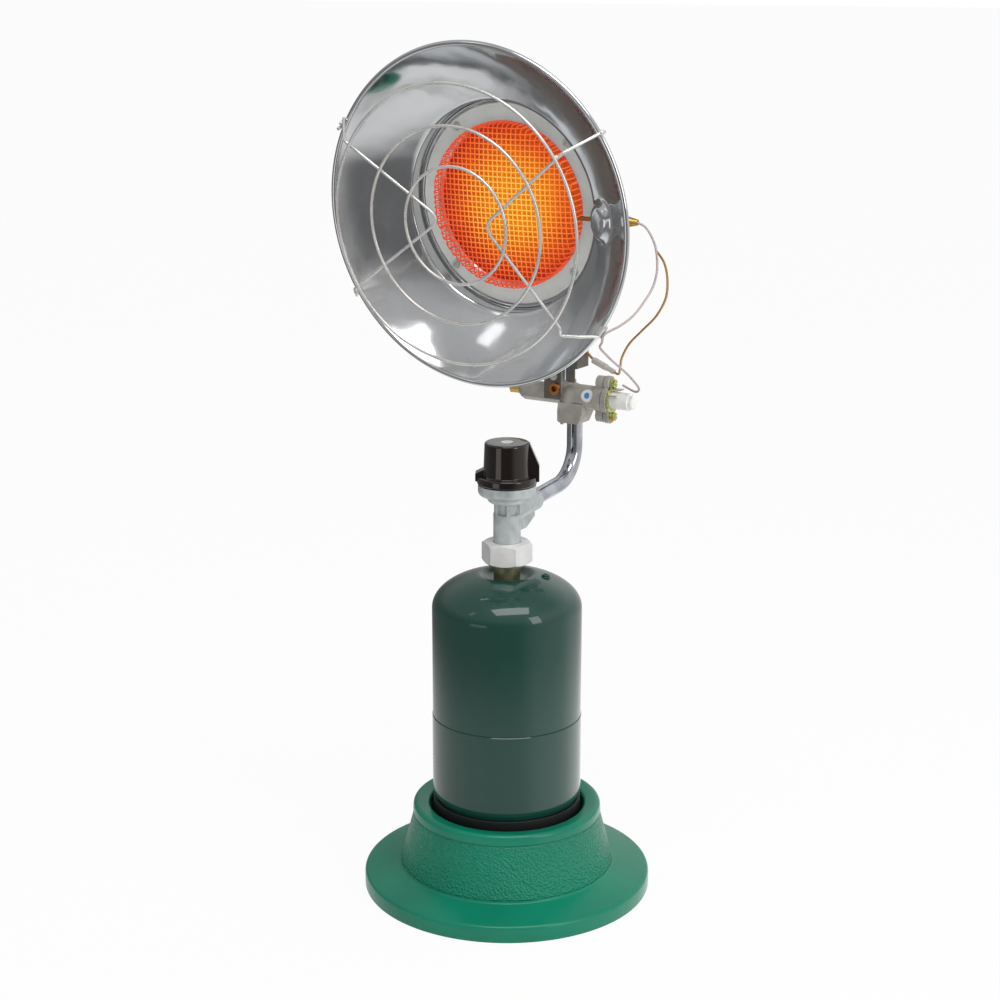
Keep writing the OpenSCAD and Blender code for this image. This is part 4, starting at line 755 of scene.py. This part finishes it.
# %% Relief valve
low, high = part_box("relief_valve")
middle, top = (low + high) / 2 / MM, high.z / MM
shape = spun(rounded([(0, low.z / MM, 0), (3.6, low.z / MM, 0), (3.6, top - 1.3, 0.3), (2.9, top - 0.8, 0.3),
                      (2.5, top - 1.7, 0.2), (2.3, top - 1.7, 0.2), (2.3, top, 0.3), (1.3, top, 0.2),
                      (1.1, top - 2.4, 0), (0, top - 2.4, 0)], 3), steps=48)
bmesh.ops.translate(shape, verts=shape.verts, vec=(middle.x * MM, middle.y * MM, 0))
piece("relief_valve_finished", shape, "sprayed_dark_green_enamel", "cylinder", ["relief_valve"])

# %% [markdown]
# ## The knob's body
# The knob is a turned body on a skirt, so it starts as a spun outline with a hollow underneath and a seat
# for the cap on top.

# %% Knob body
low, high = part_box("control_knob")
knob_z, knob_top = low.z / MM, high.z / MM
skirt_top = knob_z + 5.3
knob_outline = rounded([
    (12.2, knob_z, 0), (18.8, knob_z, 0), (19.4, knob_z + 0.7, 0.6), (19.4, skirt_top, 1.3),
    (15.35, skirt_top, 0.7), (14.5, knob_top, 1.5), (3.95, knob_top, 0.3), (3.95, knob_top - 1, 0),
    (0, knob_top - 1, 0), (0, knob_top - 12.4, 0), (12.2, knob_top - 12.4, 0)])
shape = spun(knob_outline, steps=128)
print("knob body faces:", len(shape.faces))

# %% [markdown]
# ## The knob's fin and lug
# A pointer fin stands on one side and a stop lug on the other. Each is a flat outline, extruded to a width
# and turned round the knob. They run into the body, as in the mould, and a bevel rounds all of it.

# %% Knob fin and lug


def slab(shape, outline, width_mm, turn):
    """A flat outline of (radius, height) in mm, extruded to a width and turned round the knob."""
    verts = [shape.verts.new((x * MM, -width_mm * MM / 2, z * MM)) for x, z in outline]
    face = shape.faces.new(verts)
    pushed = bmesh.ops.extrude_face_region(shape, geom=[face])["geom"]
    moved = [v for v in pushed if isinstance(v, bmesh.types.BMVert)]
    bmesh.ops.translate(shape, verts=moved, vec=(0, width_mm * MM, 0))
    bmesh.ops.rotate(shape, verts=verts + moved, matrix=Matrix.Rotation(math.radians(turn), 3, "Z"))
    around = {f for v in verts + moved for f in v.link_faces}
    bmesh.ops.recalc_face_normals(shape, faces=list(around))


FIN_ANGLE = 30
slab(shape, [(12.5, knob_top - 0.9), (14.6, knob_top - 0.7), (20.8, knob_top - 15), (20.8, knob_z + 1.6),
             (13.2, knob_z + 1.6)], 6.5, FIN_ANGLE)
slab(shape, [(13.4, skirt_top + 4.4), (15.3, skirt_top + 4.4), (20.4, skirt_top + 1.8), (20.4, skirt_top - 3.4),
             (13.4, skirt_top - 3.4)], 9, FIN_ANGLE + 180)
knob = piece("knob", shape, "polished_black_phenolic", "knob", ["control_knob"])
round_edges(knob, 0.5, 3, 40)

# %% [markdown]
# ## Places in the head
# Everything in the head is drawn round the dish's own axis: u to the right, v up and w forward, with
# w = 0 in the plane of the rim. One matrix carries it into the part's frame. It starts at the tilt joint,
# so the head stays on its pivots.

# %% Dish frame
pivot = Vector(next(j for j in frame["joints"] if j["name"] == "head_tilt")["pos_m"])
HEAD_LEAN = 6.3
HEAD_REACH = 104
HEAD_RISE = 108.2
dish_place = (Matrix.Translation(pivot) @ Matrix.Rotation(math.radians(HEAD_LEAN), 4, "X")
              @ Matrix.Translation((0, -HEAD_REACH * MM, HEAD_RISE * MM)) @ Matrix.Rotation(math.pi / 2, 4, "X"))


def dish_piece(name, shape, finish, replaces=(), sharp=SHARP):
    """A piece that was drawn round the dish's axis."""
    bmesh.ops.transform(shape, verts=shape.verts, matrix=dish_place)
    return piece(name, shape, finish, "head", replaces, sharp)


print("middle of the rim, in m:", [round(c, 4) for c in dish_place.to_translation()])

# %% [markdown]
# ## Patterns round the dish's axis
# The glow and the spinning rings follow the dish, not the part's frame. A Mapping node with the inverse of
# the dish's matrix gives coordinates on its axis, and their length without w is the distance from it.

# %% Dish coordinates


def dish_coordinates(tree, place):
    """Object coordinates turned and centred on the dish."""
    back = dish_place.inverted()
    values = {"Location": back.to_translation(), "Rotation": back.to_euler()}
    return add(tree, "ShaderNodeMapping", values, {"Vector": place})


print("the dish is turned by", round(math.degrees(dish_place.to_euler().x), 1), "degrees about X")

# %% [markdown]
# ## Mirror steel
# The reflector is bright stainless sheet, spun over a former. Spinning leaves rings too fine to see one by
# one: a 1D noise of the distance from the axis draws them, 0.7 mm apart. The sheet is never quite flat, so
# a second, wide bump makes its reflections soft and wavy. A dull red glow is painted on the seat under the
# gauze, where the glowing flange of the burner would show through the gauze's wall.

# %% Mirror steel
SEAT_GLOW_R = 0.0520
tree, shader, place = new_material("spun_bright_stainless", "#d8dadc", 0.11, 1.0)
parts = add(tree, "ShaderNodeSeparateXYZ", (), {0: dish_coordinates(tree, place)}).outputs
flat = add(tree, "ShaderNodeCombineXYZ", (), {0: parts["X"], 1: parts["Y"]})
radius = add(tree, "ShaderNodeVectorMath", (), {0: flat}, operation="LENGTH").outputs["Value"]
fine = add(tree, "ShaderNodeMath", {1: per(0.7)}, {0: radius}, operation="MULTIPLY")
rings = add(tree, "ShaderNodeTexNoise", {"Scale": 1.0, "Detail": 4}, noise_dimensions="1D")
tree.links.new(fine.outputs[0], rings.inputs["W"])
waves = add(tree, "ShaderNodeTexNoise", {"Scale": per(34), "Roughness": 0.4}, {"Vector": place})
under = add(tree, "ShaderNodeBump", {"Distance": 0.9 * MM}, {"Height": waves})
bump = add(tree, "ShaderNodeBump", {"Distance": 0.006 * MM}, {"Height": rings, "Normal": under})
tree.links.new(bump.outputs[0], shader.inputs["Normal"])
smudge = add(tree, "ShaderNodeTexNoise", {"Scale": per(26), "Detail": 5}, {"Vector": place})
gloss = add(tree, "ShaderNodeMapRange", across(0.07, 0.16), {"Value": smudge})
tree.links.new(gloss.outputs[0], shader.inputs["Roughness"])
colour = add(tree, "ShaderNodeMix", tones("#cfd1d4", "#e6e8e9"), {0: smudge}, data_type="RGBA")
tree.links.new(colour.outputs[2], shader.inputs["Base Color"])
# painted glow: a dull red emission on the seat under the gauze
shader.inputs["Emission Color"].default_value = linear("#b03016")
painted_seat_glow = add(tree, "ShaderNodeMapRange", across(1, 0, SEAT_GLOW_R, SEAT_GLOW_R + 0.0012), {"Value": radius})
tree.links.new(painted_seat_glow.outputs[0], shader.inputs["Emission Strength"])
print("mirror steel has", len(tree.nodes), "nodes")

# %% [markdown]
# ## The dish's section
# One open outline: the seat of the burner, the neck, the bowl and the rolled rim. The bowl bulges 3 mm from
# a straight cone, which is what bends its reflections.

# %% Section of the dish
RIM_R = 107.3
ROLL_R = 1.7
THROAT_R = 66.5
SEAT_R = 50.2
SEAT_W = -42.2
NECK_W = -30
NECK_ROUND = 1.2
BULGE = 3


def bowl_point(share):
    """A point of the bowl between the neck (0) and the rim (1), bulging from a straight cone."""
    start, end = Vector((THROAT_R, NECK_W)), Vector((RIM_R - 1.5 * ROLL_R, -0.2))
    along = end - start
    side = Vector((along.y, -along.x)).normalized()
    return start + along * share + side * 4 * BULGE * share * (1 - share)


dish_line = rounded([(SEAT_R, SEAT_W, 0), (THROAT_R, SEAT_W, 1.6), (THROAT_R, NECK_W, 0)])[:-1]
dish_line += [(THROAT_R + NECK_ROUND * (1 - math.cos(a)), NECK_W - NECK_ROUND * (1 - math.sin(a)))
              for a in (0, 0.4, 0.8)]
dish_line += [bowl_point(0.03 + 0.97 * k / 26) for k in range(27)]
roll = [(RIM_R - ROLL_R + ROLL_R * math.cos(a), ROLL_R * math.sin(a))
        for a in [math.radians(165 - 15 * k) for k in range(22)]]
dish_line += roll
print("points in the dish's section:", len(dish_line))

# %% [markdown]
# ## The dish
# The outline is spun in fine steps, because facets would show in a mirror. A pressed blister makes room for
# the thermocouple behind it, at the right. It is made by pushing points of the spun sheet forward, with a
# smooth step towards its edge. Solidify then gives the sheet its thickness.

# %% Dish
shape = spun(dish_line, closed=False, steps=360)
BLISTER = Vector((75.0, -1.5))
BLISTER_U = 9.5
BLISTER_DOWN, BLISTER_UP = 15.0, 11.5
BLISTER_PUSH = 4.6
SHEET_T = 0.6
for vert in shape.verts:
    u, v = vert.co.x / MM - BLISTER.x, vert.co.y / MM - BLISTER.y
    reach = math.hypot(u / BLISTER_U, v / (BLISTER_DOWN if v < 0 else BLISTER_UP))
    if reach < 1.1:
        rise = min(1, (1.1 - reach) / 0.5)
        push = BLISTER_PUSH * rise * rise * (3 - 2 * rise)
        vert.co.z += push * MM
        vert.co.x -= 0.35 * push * MM
dish = dish_piece("dish", shape, "spun_bright_stainless", ["reflector_dish"], math.radians(60))
sheet = dish.modifiers.new("sheet_thickness", "SOLIDIFY")
sheet.thickness = SHEET_T * MM
sheet.offset = -1

# %% [markdown]
# ## Hot steel
# Behind the gauze a perforated plate glows orange, brightest near the middle and dull red at the edge. Both
# glow by the same recipe: a colour ramp over the distance from the hottest spot, made uneven by a noise. In
# daylight the glow is too weak to colour what stands round it, so only the camera sees it in full, and the
# dish shows the wires as grey steel.

# %% Recipe of hot steel
GLOW_CENTRE = (8 * MM, 4 * MM, 0)
GLOW_START, GLOW_END = 0.022, 0.068
GLOW_IN_MIRRORS = 0.012


def glowing(name, stops, base):
    """Hot steel whose colour depends on the distance from the hottest spot."""
    tree, shader, place = new_material(name, base, 0.6, 1.0)
    off_centre = add(tree, "ShaderNodeVectorMath", {1: GLOW_CENTRE}, {0: dish_coordinates(tree, place)},
                     operation="SUBTRACT")
    flattened = add(tree, "ShaderNodeVectorMath", {1: (1, 1, 0)}, {0: off_centre}, operation="MULTIPLY")
    radius = add(tree, "ShaderNodeVectorMath", (), {0: flattened}, operation="LENGTH").outputs["Value"]
    uneven = add(tree, "ShaderNodeTexNoise", {"Scale": per(16), "Detail": 3}, {"Vector": place})
    shift = add(tree, "ShaderNodeMath", {1: 0.016}, {0: uneven}, operation="MULTIPLY")
    reach = add(tree, "ShaderNodeMath", (), {0: radius, 1: shift}, operation="ADD")
    share = add(tree, "ShaderNodeMapRange", across(0, 1, GLOW_START, GLOW_END), {"Value": reach})
    ramp = add(tree, "ShaderNodeValToRGB", (), {"Fac": share})
    ramp.color_ramp.elements[0].color = linear(stops[0])
    ramp.color_ramp.elements[1].color = linear(stops[-1])
    for i, colour in enumerate(stops[1:-1], 1):
        ramp.color_ramp.elements.new(i / (len(stops) - 1)).color = linear(colour)
    rays = add(tree, "ShaderNodeLightPath").outputs
    indirect = add(tree, "ShaderNodeMath", (), {0: rays["Is Glossy Ray"], 1: rays["Is Diffuse Ray"]},
                   operation="MAXIMUM")
    power = add(tree, "ShaderNodeMapRange", across(1, GLOW_IN_MIRRORS, 0, 1), {"Value": indirect})
    tree.links.new(power.outputs[0], shader.inputs["Emission Strength"])
    steel = add(tree, "ShaderNodeMix", tones(base, "#c4c0bc"), {0: indirect}, data_type="RGBA")
    tree.links.new(steel.outputs[2], shader.inputs["Base Color"])
    tree.links.new(ramp.outputs["Color"], shader.inputs["Emission Color"])
    print(name, "glows in", len(stops), "colours")
    return tree, shader, place, ramp


# %% [markdown]
# ## The emitter plate
# The plate is punched with holes 2.6 mm apart, and it looks darker through them. A grid of cells is made
# from the fraction of the coordinates, and the distance from the middle of each cell darkens the glow: at
# this size a pattern shows as well as real holes, which would be over a thousand small tubes.

# %% Emitter plate
HOLE_PITCH = 2.6
HOLE_SHADE = 0.72
tree, shader, place, ramp = glowing("red_hot_perforated_plate",
                                    ["#ea7e10", "#e06c10", "#ca4a12", "#ac2e12", "#8a1e10"], "#2c2622")
scaled = add(tree, "ShaderNodeVectorMath", {"Scale": per(HOLE_PITCH)}, {0: dish_coordinates(tree, place)},
             operation="SCALE")
cell = add(tree, "ShaderNodeVectorMath", (), {0: scaled}, operation="FRACTION")
parts = add(tree, "ShaderNodeSeparateXYZ", (), {0: cell}).outputs
centre = add(tree, "ShaderNodeCombineXYZ", (), {0: parts["X"], 1: parts["Y"]})
away = add(tree, "ShaderNodeVectorMath", {1: (0.5, 0.5, 0)}, {0: centre}, operation="DISTANCE").outputs["Value"]
hole = add(tree, "ShaderNodeMapRange", across(HOLE_SHADE, 1.0, 0.18, 0.27), {"Value": away})
dark = add(tree, "ShaderNodeVectorMath", (), {0: ramp, "Scale": hole}, operation="SCALE")
tree.links.new(dark.outputs[0], shader.inputs["Emission Color"])
give(nodes["emitter_plate"], "red_hot_perforated_plate")
low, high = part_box("emitter_plate")
print("holes across the plate:", round((high - low).x / MM / HOLE_PITCH))

# %% [markdown]
# ## Wires
# The gauze, the guard and the leads are all round wire along a path. A curve with a bevel depth makes the
# tube, and it is turned into a mesh at once, because a finished piece must be a mesh with closed ends.

# %% Wires along paths


def wires(paths, radius_mm, sides=2, closed=False):
    """Round wires along paths of points in mm, as one bmesh."""
    line = bpy.data.curves.new("wire", "CURVE")
    line.dimensions = "3D"
    line.bevel_depth = radius_mm * MM
    line.bevel_resolution = sides
    line.use_fill_caps = not closed
    for path in paths:
        spline = line.splines.new("POLY")
        spline.points.add(len(path) - 1)
        for point, spot in zip(spline.points, path):
            point.co = (*[c * MM for c in spot], 1)
        spline.use_cyclic_u = closed
    holder = bpy.data.objects.new("wire", line)
    bpy.context.scene.collection.objects.link(holder)
    bpy.context.view_layer.update()
    mesh = bpy.data.meshes.new_from_object(holder)
    shape = bmesh.new()
    shape.from_mesh(mesh)
    bmesh.ops.remove_doubles(shape, verts=shape.verts, dist=1e-6)
    bmesh.ops.recalc_face_normals(shape, faces=shape.faces)
    bpy.data.objects.remove(holder)
    bpy.data.curves.remove(line)
    bpy.data.meshes.remove(mesh)
    return shape


sample = wires([[(0, 0, 0), (0, 0, 9)]], 1)
print("a straight wire has", len(sample.faces), "faces with its two ends")
sample.free()

# %% [markdown]
# ## Shape of the gauze
# The gauze is a shallow hat: a slightly crowned top, a round corner, and a wall that stands on the seat.

# %% Height of the gauze
MESH_R = 52.4
MESH_CORNER = 4.0
MESH_WALL = 10.6
MESH_CROWN = 3.4


def gauze_height(radius):
    """Height of the gauze above the seat at a distance from the axis."""
    flat = MESH_R - MESH_CORNER
    if radius <= flat:
        return MESH_WALL + MESH_CROWN * (1 - (radius / flat) ** 2)
    over = min(1, (radius - flat) / MESH_CORNER)
    return MESH_WALL - MESH_CORNER + MESH_CORNER * math.sqrt(1 - over * over)


print("height of the gauze in the middle, in mm:", gauze_height(0))

# %% [markdown]
# ## Weaving the gauze
# Every wire follows the hat's shape and passes over and under its neighbours: its height swings by a
# cosine whose phase changes from one wire to the next. The wires are 3.3 mm apart. A wire has only a few
# sides, since there are sixty of them and each is less than a millimetre thick.

# %% Woven gauze
WIRE_PITCH = 3.3
WEAVE = 0.3
GAUZE_WIRE_R = 0.40
glowing("red_hot_woven_gauze", ["#ffc050", "#ffac44", "#fb8034", "#ee5628", "#da4022"], "#453a34")


def gauze_wire(offset, phase, swap):
    """One wire at a distance from the middle, over the crown and down both walls."""
    half = math.sqrt(MESH_R ** 2 - offset ** 2)
    step = WIRE_PITCH / 2
    count = int(half / step)
    spots = [k * step for k in range(-count, count + 1)]
    path = [(-half, 0.6), (-half, MESH_WALL - MESH_CORNER)]
    path += [(s, gauze_height(math.hypot(s, offset)) + WEAVE * math.cos(math.pi * s / WIRE_PITCH + phase))
             for s in spots]
    path += [(half, MESH_WALL - MESH_CORNER), (half, 0.6)]
    return [((s, offset) if swap else (offset, s)) + (SEAT_W + h,) for s, h in path]


count = int(MESH_R / WIRE_PITCH)
offsets = [k * WIRE_PITCH for k in range(-count, count + 1)]
paths = [gauze_wire(o, math.pi * i, swap) for swap in (False, True) for i, o in enumerate(offsets, int(swap))]
dish_piece("woven_gauze", wires(paths, GAUZE_WIRE_R, 1), "red_hot_woven_gauze", ["burner_mesh"])

# %% [markdown]
# ## Rings of the guard
# Three rings of drawn wire stand in front of the gauze, the larger ones further forward. Each is a closed
# path of 120 points.

# %% Guard rings
WIRE_R = 1.0
GUARD_RINGS = ((85.8, 24.0), (60.5, 22.9), (36.0, 21.8))
ring_paths = [[(r * math.cos(a), r * math.sin(a), w) for a in [math.tau * k / 120 for k in range(120)]]
              for r, w in GUARD_RINGS]
dish_piece("guard_ring_wires", wires(ring_paths, WIRE_R, 4, closed=True), "bright_drawn_wire", ["guard_rings"])

# %% [markdown]
# ## Paths of the cross wires
# Two bent wires are welded behind the rings and reach out to the rim. A path is a few points, placed by
# distance and angle, and every corner is then rounded as a bender would, with a wide bend in the middle.

# %% Paths of the cross wires
(outer_r, outer_w), (inner_r, inner_w) = GUARD_RINGS[0], GUARD_RINGS[-1]
WELD_GAP = 0.06


def cross_height(radius):
    """Height of a cross wire, just behind the rings."""
    slope = (outer_w - inner_w) / (outer_r - inner_r)
    return outer_w - 2 * WIRE_R - WELD_GAP - slope * (outer_r - radius)


def polar(radius, degrees, w):
    """A point at a distance and an angle round the dish's axis."""
    return Vector((radius * math.cos(math.radians(degrees)), radius * math.sin(math.radians(degrees)), w))


def bent(points, cut=2.5, middle_cut=9.0, steps=5):
    """The same path with each corner rounded, by up to cut mm, or more near the axis."""
    path = [points[0]]
    for a, b, c in zip(points, points[1:], points[2:]):
        outer = math.hypot(b.x, b.y) > 25
        reach = min(cut if outer else middle_cut, 0.45 * (a - b).length, 0.45 * (c - b).length)
        start, end = b + (a - b).normalized() * reach, b + (c - b).normalized() * reach
        path += [start.lerp(b, k / steps).lerp(b.lerp(end, k / steps), k / steps) for k in range(steps + 1)]
    return path + [points[-1]]


def leg(turn, end):
    """From near the outer ring to the rim, then the hand-shaped end."""
    knee_r = outer_r + 5
    knee = polar(knee_r, turn, cross_height(knee_r))
    return [knee] + [polar(RIM_R + out, turn + swing, w) for out, swing, w in end]


print("height of a cross wire at the outer ring, in mm:", round(cross_height(outer_r), 2))

# %% [markdown]
# ## Ends of the cross wires
# The ends hook round the rolled rim. Each is given as a few points (distance beyond the rim, turn
# in degrees, w), so no two are alike. Two small balls are the weld beads.

# %% Cross wires
HOOKS = {
    148: [(1.4, 0, 0.6), (1.2, 0.9, -2.4), (1.5, 2.0, 2.6), (1.3, 3.0, -2.2), (1.5, 4.1, 2.4)],
    210: [(1.4, 0, 1.0), (1.9, 0.3, -1.4), (4.6, 0.8, -2.6)],
    31.5: [(1.4, 0, 0.5), (0.7, 0, -3.1), (-4.2, 0, -5.2)],
    -39: [(-15.0, -3.6, 19.0), (-7.5, -1.2, 11.5), (-1.5, 0.7, 4.0), (1.4, 1.1, 0.4), (0.8, 1.1, -3.1)],
}
cross_paths = []
for vertex, turns in (((-12, 2.5), (148, 210)), ((18.5, 0.5), (31.5, -39))):
    middle = Vector((*vertex, cross_height(math.hypot(*vertex))))
    cross_paths.append(bent(leg(turns[0], HOOKS[turns[0]])[::-1] + [middle] + leg(turns[1], HOOKS[turns[1]])))
shape = wires(cross_paths, WIRE_R, 4)
BEAD_R = 1.7
for radius, turn, height in ((RIM_R + 0.6, 31.5, 1.2), (outer_r, 31.5, cross_height(outer_r))):
    bmesh.ops.create_icosphere(shape, subdivisions=3, radius=BEAD_R * MM,
                               matrix=Matrix.Translation(polar(radius, turn, height) * MM))
dish_piece("guard_cross_wires_hooked", shape, "bright_drawn_wire", ["guard_cross_wires"])

# %% [markdown]
# ## Finishes of the leads
# One lead is wrapped in grey glass braid, which a fine cell pattern gives. The other is a thin copper
# coloured wire whose tone drifts along it. The short tail behind the switch is the same wire.

# %% Finishes of the leads
tree, shader, place = new_material("grey_glass_braid", "#a9a0a3", 0.6)
braid = add(tree, "ShaderNodeTexVoronoi", {"Scale": per(0.7)}, {"Vector": place})
bump = add(tree, "ShaderNodeBump", {"Distance": 0.08 * MM}, {"Height": braid})
tree.links.new(bump.outputs[0], shader.inputs["Normal"])
colour = add(tree, "ShaderNodeMix", tones("#d2c4c2", "#a89a9a"), {0: braid}, data_type="RGBA")
tree.links.new(colour.outputs[2], shader.inputs["Base Color"])
tree, shader, place = new_material("copper_capillary_tube", "#a9683c", 0.35, 0.7)
wear = add(tree, "ShaderNodeTexNoise", {"Scale": per(6), "Detail": 3}, {"Vector": place})
colour = add(tree, "ShaderNodeMix", tones("#b07c40", "#d0a468"), {0: wear}, data_type="RGBA")
tree.links.new(colour.outputs[2], shader.inputs["Base Color"])
give(nodes["switch_tail"], "copper_capillary_tube")
print("lead finishes are made")

# %% [markdown]
# ## Routes of the leads
# Both leads start at the thermocouple. One is clipped to the rim and ends at the valve, the other ends at
# the connector of the switch. The points were chosen along the photograph's lines, and a smooth
# curve is drawn through them.

# %% Routes of the leads
LEAD_D = 1.5
thermocouple_route = [
    (89, 4.7, 448.2), (94, 5, 446), (97.5, 7, 440), (99.6, 9, 432), (100, 10, 420), (99, 7, 410),
    (97.5, -1, 402), (95, -10, 394.5), (90, -17, 389), (82.6, -22.4, 384), (79.2, -19.8, 378.2),
    (72.5, -10, 373), (69, 4, 366), (65.5, 20, 358.5), (64, 42, 346.5), (59, 66, 333.5),
    (53, 76, 328.2), (46.5, 82, 327), (36.5, 86.7, 328.8)]
switch_route = [
    (99.7, 9.4, 431.4), (102.6, 14, 424), (102, 20, 413), (97, 28, 400), (87, 35, 387),
    (74, 42, 376), (61, 49, 365), (52, 56, 354), (48.4, 60.5, 346.5), (45.4, 64.2, 341.2), (41.8, 65.3, 341.6)]


def smooth_route(points, steps):
    """A curve through the given points."""
    spots = [Vector(p) for p in points]
    curve = []
    for i in range(len(spots) - 1):
        a, b, c, d = spots[max(i - 1, 0)], spots[i], spots[i + 1], spots[min(i + 2, len(spots) - 1)]
        for j in range(steps):
            s = j / steps
            curve.append(0.5 * (2 * b + (c - a) * s + (2 * a - 5 * b + 4 * c - d) * s * s
                                + (3 * b - a - 3 * c + d) * s ** 3))
    return curve + [spots[-1]]


print("points in the routes:", len(thermocouple_route), len(switch_route))

# %% [markdown]
# ## The two leads
# A lead joins the heater to the head. It rides on no body: its mesh is baked in place, so it stays where
# it is drawn when the head tilts.


def lead(name, route, finish, node):
    """A thin lead that runs between the valve and the head, baked in place."""
    path = smooth_route(route, 8)
    made = piece(name, wires([path], LEAD_D / 2, 2), finish, None, [node])
    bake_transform(made)
    return made


lead("thermocouple_wire", thermocouple_route, "grey_glass_braid", "thermocouple_lead")
lead("switch_wire", switch_route, "copper_capillary_tube", "switch_lead")

# %% [markdown]
# ## The sticker
# The inspection dot is a plain round sticker: white paper with a blue disc. Its edge is drawn by distance
# from the middle of the solid, over a fifth of a millimetre, so that it stays sharp but not jagged.

# %% Sticker
DISC_R = 0.0022
tree, shader, place = new_material("printed_paper_dot", "#eef2f6", 0.5)
low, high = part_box("inspection_dot")
away = add(tree, "ShaderNodeVectorMath", {1: (low + high) / 2}, {0: place}, operation="DISTANCE").outputs["Value"]
inside = add(tree, "ShaderNodeMapRange", across(1, 0, DISC_R, DISC_R + 0.0002), {"Value": away})
colour = add(tree, "ShaderNodeMix", tones("#eef2f6", "#4b8fc8"), {0: inside}, data_type="RGBA")
tree.links.new(colour.outputs[2], shader.inputs["Base Color"])
give(nodes["inspection_dot"], "printed_paper_dot")
print("sticker is", round((high - low).length / MM, 1), "mm from corner to corner")

# %% [markdown]
# ## The end
